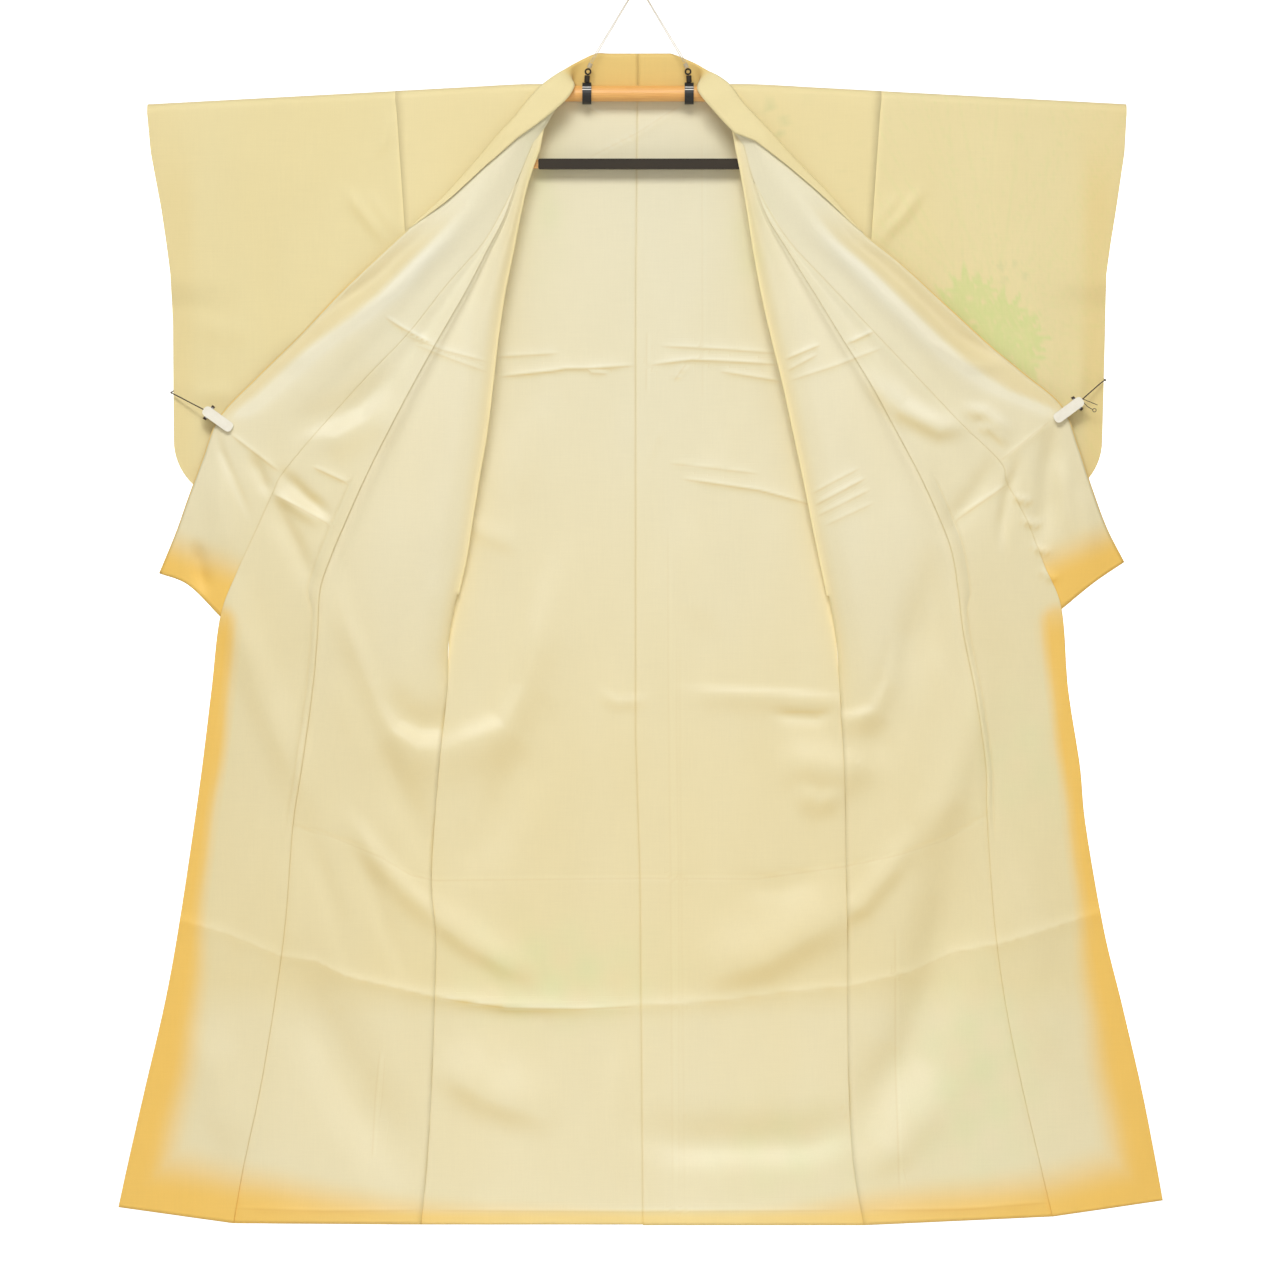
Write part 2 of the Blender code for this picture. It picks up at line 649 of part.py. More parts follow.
def build_side(side):
    outward = SIDES[side]
    half = CLOTH / 2
    under = half + GAP
    fronts = front_grid(side)
    rows = fronts.shape[0]

    shared = grid_normals(fronts, full(fronts), outward)
    joined = slice(FRONT_STEPS, FRONT_STEPS + OKUMI_STEPS + 1)
    for k in range(OKUMI_TIP_ROW):
        mean = shared[k, joined].sum(axis=0)
        shared[k, joined] = mean / np.linalg.norm(mean)

    grid, keep = front_panel_grid(side, fronts)
    normals = shoulder_normals(grid_normals(grid, keep, outward), -1)
    top_rows = grid.shape[0] - rows
    normals[top_rows:, 5:] = shared[:, :FRONT_STEPS + 1]
    turn = len(UNDER_SHARES) - 1
    split = top_rows + CLIP_ROW
    panel_trims = {"first": SEAM_TRIM, "last": SEAM_TRIM * 2, "top": SEAM_TRIM}
    for part, cells, trims in (
            ("_front_under", (slice(0, top_rows + LAST_FOLD_ROW), slice(0, turn)), {}),
            ("_front", (slice(top_rows, split), slice(turn, None)), {"bottom": SEAM_TRIM}),
            ("_front_skirt", (slice(split, None), slice(turn, None)), {})):
        points = tuple(slice(s.start, s.stop + 1 if s.stop else None) for s in cells)
        wall(side + part, trimmed(grid[points], keep[cells], {**panel_trims, **trims}),
             normals[points], keep[cells], half, -half, outer_cloth())

    opened = fronts[:, :FRONT_STEPS + 1]
    opened_normals = shared[:, :FRONT_STEPS + 1]
    lining_pair(side + "_front", opened, opened_normals, 1, HEM_FACING_ROW, rows - 1, under)

    first = FRONT_STEPS
    last = FRONT_STEPS + OKUMI_STEPS + 1
    okumi = fronts[OKUMI_TIP_ROW:, first:last]
    okumi_normals = shared[OKUMI_TIP_ROW:, first:last]
    wall(side + "_okumi", trimmed(okumi, full(okumi), {"first": SEAM_TRIM, "last": SEAM_TRIM}),
         okumi_normals, full(okumi), half, -half, outer_cloth())
    lining_pair(side + "_okumi", okumi, okumi_normals, 0, OKUMI_JOIN_ROW - OKUMI_TIP_ROW,
                okumi.shape[0] - 1, under)

    collar = collar_grid(side, fronts)
    neck = sum(NECK_STEPS) + 1
    keep = full(collar)
    keep[neck + len(FOLDED_WIDTHS) - 1:, COLLAR_STEPS:] = False
    normals = grid_normals(collar, keep, outward)
    normals[neck:, 0] = shared[:COLLAR_END_ROW + 1, last - 1]
    wall(side + "_collar", trimmed(collar, keep, {"first": SEAM_TRIM, "top": SEAM_TRIM}),
         normals, keep, half, -half, outer_cloth())

    face = collar[neck:, :COLLAR_STEPS + 1]
    face_normals = normals[neck:, :COLLAR_STEPS + 1]
    face_keep = full(face)
    face_keep[:len(FOLDED_WIDTHS), COLLAR_STEPS - 1] = False
    upper = slice(0, CLIP_ROW + 1)
    lower = slice(CLIP_ROW, COLLAR_END_ROW + 1)
    wall(side + "_collar_lining",
         trimmed(face[upper], face_keep[:CLIP_ROW], {"first": SEAM_TRIM, "bottom": SEAM_TRIM}),
         face_normals[upper], face_keep[:CLIP_ROW], -under, -under - LINING, lining_cloth())
    wall(side + "_collar_tip_lining",
         trimmed(face[lower], face_keep[CLIP_ROW:], {"first": SEAM_TRIM, "top": SEAM_TRIM}),
         face_normals[lower], face_keep[CLIP_ROW:], -under, -under - LINING, hem_cloth())

    grid, keep = back_grid(side)
    normals = shoulder_normals(grid_normals(grid, keep, outward), 1)
    wall(side + "_back", trimmed(grid, keep, {"first": SEAM_TRIM, "last": SEAM_TRIM * 2,
                                              "top": SEAM_TRIM}),
         normals, keep, half, -half, outer_cloth())
    lined = grid[len(SHOULDER_ANGLES):]
    lined_normals = normals[len(SHOULDER_ANGLES):]
    split = lined.shape[0] - 1 - (rows - 1 - HEM_FACING_ROW)
    lining_pair(side + "_back", lined, lined_normals, 0, split, lined.shape[0] - 1, under,
                BACK_LINING_TRIM)

    for facing, leaf in ((-1, "front"), (1, "back")):
        grid = sleeve_grid(side, facing)
        normals = shoulder_normals(grid_normals(grid, full(grid), outward * facing), facing)
        wall(side + "_sleeve_" + leaf,
             trimmed(grid, full(grid), {"first": SEAM_TRIM, "top": SEAM_TRIM}),
             normals, full(grid), half, -half, outer_cloth())


def lining_pair(name, grid, normals, start, split, end, under, side_trim=SEAM_TRIM):
    """The upper lining and the lower one (hem facing) of a panel, parted at a row."""
    for part, a, b, finish, border in (("upper", start, split, lining_cloth(), "bottom"),
                                       ("lower", split, end, hem_cloth(), "top")):
        piece = grid[a:b + 1]
        wall(name + "_" + part + "_lining",
             trimmed(piece, full(piece), {"first": SEAM_TRIM, "last": side_trim,
                                          border: SEAM_TRIM}),
             normals[a:b + 1], full(piece), -under, -under - LINING, finish)


def turned(name, radius, path_start, path_end, finish, corners=16):
    """A straight round bar of one radius between two points."""
    mesh = bpy.data.meshes.new(name)
    bm = bmesh.new()
    axis = path_end - path_start
    bmesh.ops.create_cone(bm, cap_ends=True, cap_tris=False, segments=corners,
                          radius1=radius, radius2=radius, depth=axis.length)
    spin = Vector((0, 0, 1)).rotation_difference(axis.normalized()).to_matrix().to_4x4()
    place = Matrix.Translation((path_start + path_end) / 2) @ spin
    bmesh.ops.transform(bm, matrix=place, verts=bm.verts[:])
    bm.to_mesh(mesh)
    bm.free()
    mesh.shade_smooth()
    mesh.set_sharp_from_angle(angle=math.radians(40))
    return finished(name, mesh, finish)


def extruded(name, outline, thickness, finish, place, hole=None):
    """A flat plate from an outline in millimetres, in the plane X-Z, centred in Y."""
    mesh = bpy.data.meshes.new(name)
    bm = bmesh.new()
    near = [bm.verts.new(Vector((x, -thickness / 2, z)) * MM) for x, z in outline]
    far = [bm.verts.new(Vector((x, thickness / 2, z)) * MM) for x, z in outline]
    count = len(outline)
    if hole:
        near_hole = [bm.verts.new(Vector((x, -thickness / 2, z)) * MM) for x, z in hole]
        far_hole = [bm.verts.new(Vector((x, thickness / 2, z)) * MM) for x, z in hole]
        for i in range(count):
            j = (i + 1) % count
            bm.faces.new((near[i], near[j], near_hole[j], near_hole[i]))
            bm.faces.new((far[j], far[i], far_hole[i], far_hole[j]))
            bm.faces.new((near_hole[i], near_hole[j], far_hole[j], far_hole[i]))
    else:
        bm.faces.new(near)
        bm.faces.new(list(reversed(far)))
    for i in range(count):
        j = (i + 1) % count
        bm.faces.new((near[j], near[i], far[i], far[j]))
    bmesh.ops.recalc_face_normals(bm, faces=bm.faces[:])
    bmesh.ops.transform(bm, matrix=place, verts=bm.verts[:])
    bm.to_mesh(mesh)
    bm.free()
    return finished(name, mesh, finish)


def rounded_rectangle(length, width, radius, steps=4):
    outline = []
    for cx, cz, start in ((length / 2 - radius, width / 2 - radius, 0),
                          (-length / 2 + radius, width / 2 - radius, 90),
                          (-length / 2 + radius, -width / 2 + radius, 180),
                          (length / 2 - radius, -width / 2 + radius, 270)):
        for i in range(steps + 1):
            angle = math.radians(start + 90 * i / steps)
            outline.append((cx + radius * math.cos(angle), cz + radius * math.sin(angle)))
    return outline


def ellipse(half_width, half_height, shift=0.0, count=24):
    turns = [2 * math.pi * i / count for i in range(count)]
    return [(shift + half_width * math.cos(t), half_height * math.sin(t)) for t in turns]


def tube(name, points, diameter, finish):
    """A cord along a smooth route through points given in hanger millimetres."""
    route = through([world(*p) for p in points], [4] * (len(points) - 1)) \
        if len(points) > 2 else [world(*p) for p in points]
    curve = bpy.data.curves.new(name, "CURVE")
    curve.dimensions = "3D"
    curve.bevel_depth = diameter / 2 * MM
    curve.bevel_resolution = 2
    curve.use_fill_caps = True
    spline = curve.splines.new("POLY")
    spline.points.add(len(route) - 1)
    for point, place in zip(spline.points, route):
        point.co = (*place, 1.0)
    curve.materials.append(finish)
    obj = bpy.data.objects.new(name, curve)
    bpy.context.scene.collection.objects.link(obj)
    return obj


def torus(name, centre, mean_radius, wire, axis, finish, around=24, across=8):
    mesh = bpy.data.meshes.new(name)
    bm = bmesh.new()
    rings = []
    for i in range(around):
        a = 2 * math.pi * i / around
        ring = []
        for j in range(across):
            b = 2 * math.pi * j / across
            reach = mean_radius + wire / 2 * math.cos(b)
            ring.append(bm.verts.new(Vector((reach * math.cos(a), reach * math.sin(a),
                                             wire / 2 * math.sin(b))) * MM))
        rings.append(ring)
    for i in range(around):
        for j in range(across):
            ahead, beside = (i + 1) % around, (j + 1) % across
            bm.faces.new((rings[i][j], rings[ahead][j], rings[ahead][beside], rings[i][beside]))
    spin = Vector((0, 0, 1)).rotation_difference(Vector(axis).normalized()).to_matrix().to_4x4()
    bmesh.ops.transform(bm, matrix=Matrix.Translation(centre) @ spin, verts=bm.verts[:])
    bmesh.ops.recalc_face_normals(bm, faces=bm.faces[:])
    bm.to_mesh(mesh)
    bm.free()
    mesh.shade_smooth()
    return finished(name, mesh, finish)


def build_rod():
    turned("hanger_rod", ROD_RADIUS * MM, world(-ROD_CENTRE_HALF, 0, 0),
           world(ROD_CENTRE_HALF, 0, 0), wood(), 20)
    for side, sign in SIDES.items():
        start = ROD_CENTRE_HALF + ROD_RADIUS * ROD_ARM_SLOPE + GAP
        turned("hanger_arm_" + side, ROD_RADIUS * MM,
               world(sign * start, rod_sag(start), 0),
               world(sign * ROD_ARM_END, rod_sag(ROD_ARM_END), 0), wood(), 20)


STRAP_HALF_HEIGHT = 14.7
STEM_TOP = 24.0
EYE_RADIUS = 3.6
EYE_WIRE = 2.4
LINE_DIAMETER = 1.0
RING_BOTTOM_DROP = -ROD_DROP + 2 * RING_INNER_RADIUS + RING_WIRE


def build_strap(side, sign):
    """The black strap round the rod, its stem, eye, crimp and doubled nylon line."""
    x = sign * STRAP_OFFSET
    outer = ellipse(13.1, STRAP_HALF_HEIGHT, -1.1)
    inner = ellipse(ROD_RADIUS + GAP, ROD_RADIUS + GAP)
    place = Matrix.Translation(world(x, 0, 0)) @ Matrix.Rotation(math.radians(90), 4, "Z")
    extruded("strap_" + side, outer, STRAP_WIDTH, black_plastic(), place, inner)
    foot = world(x, -STRAP_HALF_HEIGHT - GAP, -1.1)
    top = world(x - sign * 0.5, -STEM_TOP, -1.1)
    turned("swivel_stem_" + side, 3.6 * MM, foot, top, black_plastic(), 12)
    reach = STEM_TOP + GAP + EYE_RADIUS + EYE_WIRE / 2 + 0.1
    eye = world(x - sign * 1.5, -reach, -1.1)
    torus("swivel_eye_" + side, eye, EYE_RADIUS, EYE_WIRE, (0.2, 1, 0.0), black_plastic(), 16, 6)
    crimp_start = reach + EYE_RADIUS + EYE_WIRE / 2 + GAP
    crimp_x = x - sign * 2.8
    low = world(crimp_x, -crimp_start, -1.1)
    high = world(crimp_x - sign * 2.6, -crimp_start - 6.0, -1.1)
    turned("line_crimp_" + side, 2.9 * MM, low, high, clear_nylon(), 12)
    end_drop = RING_BOTTOM_DROP + GAP + LINE_DIAMETER * 0.3
    for number, spread in ((1, -1), (2, 1)):
        start = (crimp_x - sign * 2.8 + spread * 1.4, -crimp_start - 7.4, -1.1)
        ahead = (sign * 1.2 + spread * 0.6, end_drop, spread * sign * 0.7)
        tube("hanging_line_" + side + "_" + str(number), [start, ahead], LINE_DIAMETER,
             clear_nylon())


def build_ring():
    centre = Vector((0, 0, -RING_INNER_RADIUS * MM))
    torus("hanging_ring", centre, RING_INNER_RADIUS + RING_WIRE / 2, RING_WIRE, (0, 1, 0),
          steel(), 28, 8)


BAR_LEFT, BAR_RIGHT = -133.5, 146.0
BAR_TOP, BAR_HEIGHT, BAR_DEPTH = 87.5, 13.8, 10.0
BAR_ARM_WIDTH = 11.0


def build_sash_bar():
    """The black bar for the sash, and the wooden arm that carries each end from the rod."""
    middle = (BAR_LEFT + BAR_RIGHT) / 2
    outline = rounded_rectangle(BAR_RIGHT - BAR_LEFT, BAR_HEIGHT, 2.0, 2)
    place = Matrix.Translation(world(middle, BAR_TOP + BAR_HEIGHT / 2, 0))
    extruded("sash_bar", outline, BAR_DEPTH, black_plastic(), place)
    for side, end, sign in (("right", BAR_LEFT - GAP, -1), ("left", BAR_RIGHT + GAP, 1)):
        reach = 4.6
        rod_under = ROD_RADIUS + 2 * GAP
        outline = [(0, -BAR_TOP - 1.0), (sign * reach, -BAR_TOP - 1.0),
                   (sign * reach, -rod_under), (sign * (reach + BAR_ARM_WIDTH), -rod_under),
                   (sign * (reach + BAR_ARM_WIDTH), -BAR_TOP - BAR_HEIGHT + 1.0),
                   (0, -BAR_TOP - BAR_HEIGHT + 1.0)]
        extruded("sash_bar_arm_" + side, outline, 8.0, wood(),
                 Matrix.Translation(world(end, 0, 0)))


def build_clip(side):
    """A sprung clip on the collar's edge, with its pin and its elastic cord."""
    x, drop, slope = CLIPS[side]
    spin = Matrix.Rotation(math.radians(-slope), 4, "Y")
    outline = rounded_rectangle(CLIP_LENGTH, CLIP_WIDTH, 5.5)
    for jaw, depth in (("front", CLIP_FRONT_DEPTH - CLIP_JAW / 2),
                       ("back", CLIP_BACK_DEPTH + CLIP_JAW / 2)):
        place = Matrix.Translation(world(x, drop, depth)) @ spin
        extruded("clip_" + side + "_" + jaw + "_jaw", outline, CLIP_JAW, white_plastic(), place)
    sign = SIDES[side]
    along = Vector((math.cos(math.radians(slope)), 0, math.sin(math.radians(slope))))
    across = Vector((-along.z, 0, along.x))
    outer = world(x, drop, (CLIP_FRONT_DEPTH + CLIP_BACK_DEPTH) / 2)
    outer = outer + along * sign * (CLIP_LENGTH * 0.32) * MM
    pin_radius = (CLIP_BACK_DEPTH - CLIP_FRONT_DEPTH) / 2 - GAP
    turned("clip_" + side + "_pin", pin_radius * MM, outer - across * (CLIP_WIDTH / 2 + 2) * MM,
           outer + across * (CLIP_WIDTH / 2 + 2) * MM, steel(), 12)
    build_elastic(side, sign, outer + along * sign * (pin_radius + GAP + 1.0) * MM)


ELASTIC_DIAMETER = 1.6
ELASTIC_WRAP = {"right": (623.6, 400.5), "left": (624.6, 384.0)}


def build_elastic(side, sign, start):
    """From the clip round the sleeve's closed edge, up behind it to the rod arm's end."""
    first = (start.x / MM, -start.z / MM - ROD_DROP, start.y / MM)
    edge, level = ELASTIC_WRAP[side]
    sag = rod_sag(ROD_ARM_END)
    route = [first,
             (sign * (edge - 4.0), level + 3.5, -6.5),
             (sign * (edge + 2.2), level, -0.5),
             (sign * (edge - 3.0), level - 8.0, 7.5),
             (sign * (edge - 12.0), level - 60.0, 13.5),
             (sign * (edge - 12.0), 220.0, 17.0),
             (sign * (edge + 6.0), 110.0, 17.2),
             (sign * (edge + 19.0), 70.0, 17.2),
             (sign * (ROD_ARM_END + 8.0), 48.0, 14.0),
             (sign * (ROD_ARM_END + 7.0), sag + 12.0, 6.0),
             (sign * (ROD_ARM_END + 1.3), sag - 1.0, 2.0)]
    tube("elastic_" + side, route, ELASTIC_DIAMETER, dark_elastic())


def main():
    clear_scene()
    for side in SIDES:
        build_side(side)
    build_rod()
    for side, sign in SIDES.items():
        build_strap(side, sign)
        build_clip(side)
    build_ring()
    build_sash_bar()


main()
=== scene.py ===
"""The looks of a lined kimono hung open on a kimono hanger.

Metres, +Z up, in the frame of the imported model; the garment's inside faces -Y.
Tables are in millimetres: distances from the centre line (positive towards the
wearer's left), drops below the hanger rod's axis, and depths away from the viewer.
"""

import math

import bmesh
import bpy
import numpy as np
from mathutils import Euler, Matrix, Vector

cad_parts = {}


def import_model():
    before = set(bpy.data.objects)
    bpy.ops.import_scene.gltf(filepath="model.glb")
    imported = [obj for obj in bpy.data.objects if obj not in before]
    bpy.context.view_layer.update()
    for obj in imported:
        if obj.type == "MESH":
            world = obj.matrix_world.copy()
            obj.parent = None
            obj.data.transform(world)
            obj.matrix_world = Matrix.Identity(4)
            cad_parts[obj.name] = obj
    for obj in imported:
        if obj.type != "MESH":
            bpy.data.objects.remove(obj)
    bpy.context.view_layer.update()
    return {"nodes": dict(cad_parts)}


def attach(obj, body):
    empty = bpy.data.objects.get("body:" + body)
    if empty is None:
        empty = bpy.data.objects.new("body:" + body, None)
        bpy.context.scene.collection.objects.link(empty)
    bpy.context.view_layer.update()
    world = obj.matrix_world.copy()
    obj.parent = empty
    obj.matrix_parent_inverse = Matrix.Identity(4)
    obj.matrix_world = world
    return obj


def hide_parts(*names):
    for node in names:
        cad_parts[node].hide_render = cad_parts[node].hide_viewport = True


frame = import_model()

NODES = frame["nodes"]
MM = 0.001

# Sizes that the CAD part also has
ROD_DROP = 165.5
ROD_CENTRE_HALF = 156.0
ROD_ARM_END = 643.0
ROD_ARM_SLOPE = 0.0535
STRAP_OFFSET = 68.5
RING_INNER_RADIUS = 8.5
RING_WIRE = 3.0
BACK_DEPTH = 14.8
FRONT_DEPTH = 12.1
NECK_HALF = 97.8
BACK_NECK_DROP = 4.7
SLEEVE_BOTTOM = 545.0
SLEEVE_CORNER = 80.0
WRIST_OPENING = 250.0
ARMHOLE_DROP = 184.0
BACK_LEAF_NARROWER = 8.0
FOLD_SPACING = 4.4

# Cloth of the visual model: distances of each layer's two skins from the garment's
# middle surface, positive towards the outer side.
OUTER_SKINS = (0.5, -0.35)
LINING_SKINS = (-0.5, -1.1)
CELL = 5.6
SEAM_ROLL = 0.35
SEAM_ROLL_WIDTH = 2.6
CENTRE_SEAM_ROLL = 0.6
OKUMI_STEP = 1.5
OKUMI_STEP_WIDTH = 5.5
# Outer cloth that shows beyond the lining at the collar's free edge
COLLAR_RIM = 1.8


# Rows down each front, as (distance, drop): turned fold, okumi seam, collar seam, and the
# collar's free edge, or below the collar: turned fold, okumi seam, free edge
RIGHT_FRONT = (
    ((134, 76), (141, 69), (141, 69), (184, 54)),
    ((149, 119), (162, 119), (162, 119), (217, 93)),
    ((159, 161), (178, 165), (184, 163), (260, 140)),
    ((169, 212), (202, 212), (209, 204), (306, 182)),
    ((180, 266), (230, 266), (257, 259), (351, 223)),
    ((189, 325), (264, 325), (306, 321), (402, 271)),
    ((197, 395), (303, 395), (367, 385), (457, 329)),
    ((205, 459), (335, 456), (431, 456), (512, 383)),
    ((214, 510), (362, 510), (476, 511), (560, 434)),
    ((225, 578), (395, 584), (489, 537), (583, 490)),
    ((232, 622), (410, 620), (513, 590), (603, 545)),
    ((243, 671), (425, 665), (536, 640), (619, 590)),
    ((254, 732), (429, 727), (559, 701), (641, 643)),
    ((256, 799), (436, 799), (571, 797)),
    ((268, 913), (450, 900), (584, 902)),
    ((277, 1050), (463, 983), (596, 987)),
    ((271, 1130), (473, 1110), (616, 1118)),
    ((273, 1221), (488, 1221), (635, 1221)),
    ((277, 1335), (507, 1335), (661, 1333)),
    ((283, 1436), (529, 1437), (683, 1429)),
    ((291, 1517), (543, 1515), (697, 1493)),
)
LEFT_FRONT = (
    ((134, 79), (142, 73), (142, 73), (177, 54)),
    ((142, 119), (155, 119), (155, 119), (213, 93)),
    ((149, 161), (172, 165), (178, 163), (255, 136)),
    ((157, 212), (200, 212), (206, 204), (300, 187)),
    ((168, 271), (237, 271), (256, 257), (354, 231)),
    ((181, 328), (272, 328), (319, 324), (413, 285)),
    ((196, 389), (310, 389), (379, 387), (469, 336)),
    ((212, 462), (350, 462), (433, 444), (517, 376)),
    ((224, 518), (378, 515), (485, 495), (567, 419)),
    ((236, 578), (406, 577), (494, 523), (590, 475)),
    ((246, 625), (420, 617), (520, 572), (607, 527)),
    ((256, 673), (428, 665), (544, 633), (627, 581)),
    ((266, 732), (436, 727), (567, 691), (651, 628)),
    ((271, 806), (452, 806), (576, 797)),
    ((277, 913), (466, 900), (592, 900)),
    ((279, 1035), (468, 967), (600, 980)),
    ((281, 1125), (478, 1110), (624, 1118)),
    ((281, 1221), (493, 1221), (649, 1221)),
    ((283, 1335), (516, 1335), (675, 1333)),
    ((289, 1436), (540, 1437), (694, 1429)),
    ((303, 1518), (556, 1506), (704, 1484)),
)
# Depths in the same rows: fold, swell, trough, ridge at the okumi seam, valley along the
# okumi's middle, collar seam, the collar's crest, free edge
FRONT_DEPTHS = (
    (-16.5, -16.8, -17.0, -17.0, -16.8, -17.0, -25.0, -20.0),
    (-16.2, -17.5, -17.0, -18.0, -18.0, -18.0, -26.0, -19.0),
    (-16.2, -19.0, -16.5, -20.0, -19.5, -18.5, -27.0, -18.0),
    (-16.2, -20.0, -15.5, -22.0, -18.0, -18.5, -27.0, -17.5),
    (-16.2, -20.5, -15.0, -23.5, -16.0, -18.5, -26.5, -17.0),
    (-16.2, -20.5, -15.0, -24.0, -15.2, -18.5, -26.0, -17.0),
    (-16.2, -20.0, -15.0, -24.0, -15.0, -18.5, -25.0, -17.0),
    (-14.2, -19.0, -14.5, -23.0, -15.0, -18.5, -22.5, -17.5),
    (-12.0, -17.0, -13.5, -21.0, -15.2, -18.5, -18.5, -18.0),
    (-7.5, -15.0, -12.0, -19.0, -15.0, -17.0, -18.0, -14.0),
    (-2.0, -11.5, -10.0, -16.5, -16.0, -15.0, -17.0, -13.0),
    (4.0, -6.0, -7.0, -12.5, -13.5, -13.0, -15.0, -12.0),
    (11.0, 1.0, -2.0, -8.0, -10.0, -10.5, -12.0, -10.0),
    (14.8, 7.0, 4.0, -1.0, -4.0, -6.0, -6.0, -6.0),
    (14.8, 10.0, 7.0, 4.0, 0.0, -1.0, -1.0, -1.0),
    (14.8, 11.5, 9.0, 6.0, 3.0, 2.0, 2.0, 2.0),
    (14.8, 11.0, 9.5, 7.0, 5.0, 4.0, 4.0, 4.0),
    (14.8, 12.0, 10.0, 8.5, 6.0, 5.0, 5.0, 5.0),
    (14.8, 12.5, 11.0, 9.0, 7.0, 6.0, 6.0, 6.0),
    (14.8, 13.0, 11.5, 10.0, 8.5, 7.0, 7.0, 7.0),
    (14.8, 13.5, 12.5, 11.0, 9.5, 8.0, 8.0, 8.0),
)
FIRST_SIDE_SEAM_ROW = 13
COLLAR_END_ROW = 12
OKUMI_TIP_ROW = 1
UNDER_DEPTHS = (-12.1, -12.1, -12.1, -12.1, -12.1, -12.1, -12.1,
                -9.8, -7.6, -3.1, 2.4, 8.4)
UNDER_SHARES = (0.0, 0.37, 0.744, 1.0)
FOLDED_WIDTHS = (25.0, 15.0, 9.0, 0.6)
FOLD_CLEARANCE = 3.0
FLAP_CLEARANCE = 4.6
# Sections round the neck, as (distance, drop, depth): seam, middle, crease, free edge
NECK_BACK = (
    ((0, 14, 16.6), (0, -20, 18.5), (0, -53, 17.0), (0, 4.0, 13.6)),
    ((38, 14, 16.6), (38, -20, 18.5), (38, -53, 17.0), (38, 4.0, 13.6)),
)
RIGHT_NECK = NECK_BACK + (
    ((74, 14, 16.6), (66, -20, 18.5), (57, -53, 17.0), (70, 4.0, 13.6)),
    ((88, 6, 17.5), (86, -18, 17.0), (80, -43, 12.5), (87, -16, 13.2)),
    ((95, -15, 11.5), (97, -25, 8.0), (97, -33, 3.0), (88, -18, -2.0)),
    ((95, -16, 0.0), (101, -24, -3.0), (110, -24, -8.0), (85, -8, -16.0)),
    ((99, -7, -14.5), (110, -8, -16.2), (125, -12, -15.0), (94, 8, -23.0)),
    ((108, 18, -15.0), (119, 8, -18.0), (140, 3, -17.5), (113, 26, -25.0)),
    ((123, 44, -15.5), (128, 37, -22.0), (165, 34, -19.5), (137, 45, -28.0)),
)
LEFT_NECK = NECK_BACK + (
    ((74, 14, 16.6), (62, -20, 18.5), (49, -52, 17.0), (66, 4.0, 13.6)),
    ((88, 6, 17.5), (84, -18, 17.0), (76, -41, 12.5), (83, -16, 13.2)),
    ((95, -15, 11.5), (95, -25, 8.0), (93, -31, 3.0), (83, -18, -2.0)),
    ((95, -16, 0.0), (100, -23, -3.0), (108, -22, -8.0), (79, -5, -16.0)),
    ((99, -7, -14.5), (109, -6, -16.2), (123, -9, -15.0), (88, 10, -23.0)),
    ((108, 20, -15.0), (120, 12, -18.0), (139, 13, -17.5), (107, 32, -25.0)),
    ((125, 48, -15.5), (129, 42, -22.0), (160, 36, -19.5), (128, 55, -28.0)),
)
# Drops and distances of the neck opening's edge, below the rod
NECK_EDGE = ((19, 110.5), (46, 127.0))
# Drops, and distances of the side seams on the right and on the left
SIDE_EDGE = (
    (-12, 325, 326),
    (184, 312, 313),
    (344, 300, 302),
    (571, 275, 285),
    (671, 262, 273),
    (732, 254, 266),
    (799, 256, 271),
)
# Drops and distances of the centre back seam
CENTRE_SEAM = ((0, -1.0), (280, -3.4), (860, -3.4), (1052, 2.5), (1520, 6.5))
# Drops, and distances of the cuffs on the right and on the left
CUFF_EDGE = (
    (0, 657, 654),
    (62, 652, 651),
    (149, 638, 640),
    (242, 626, 627),
    (312, 623, 626),
    (465, 622, 622),
)
# Middle of each clip (x, drop) and its slope in degrees
CLIPS = {"right": (-561.5, 437.0, -35.5), "left": (575.5, 424.8, 36.5)}
CLIP_LENGTH = 46.0
CLIP_WIDTH = 14.0
CLIP_FRONT_DEPTH = -21.0
CLIP_BACK_DEPTH = -16.0
ELASTIC_DIAMETER = 1.6
# Distance and drop where each elastic goes round the sleeve's edge
ELASTIC_WRAP = {"right": (623.6, 400.5), "left": (624.6, 384.0)}
LINE_DIAMETER = 1.0

SIDES = {"right": -1, "left": 1}
FRONTS = {"right": RIGHT_FRONT, "left": LEFT_FRONT}
NECKS = {"right": RIGHT_NECK, "left": LEFT_NECK}
SIDE_COLUMN = {"right": 1, "left": 2}

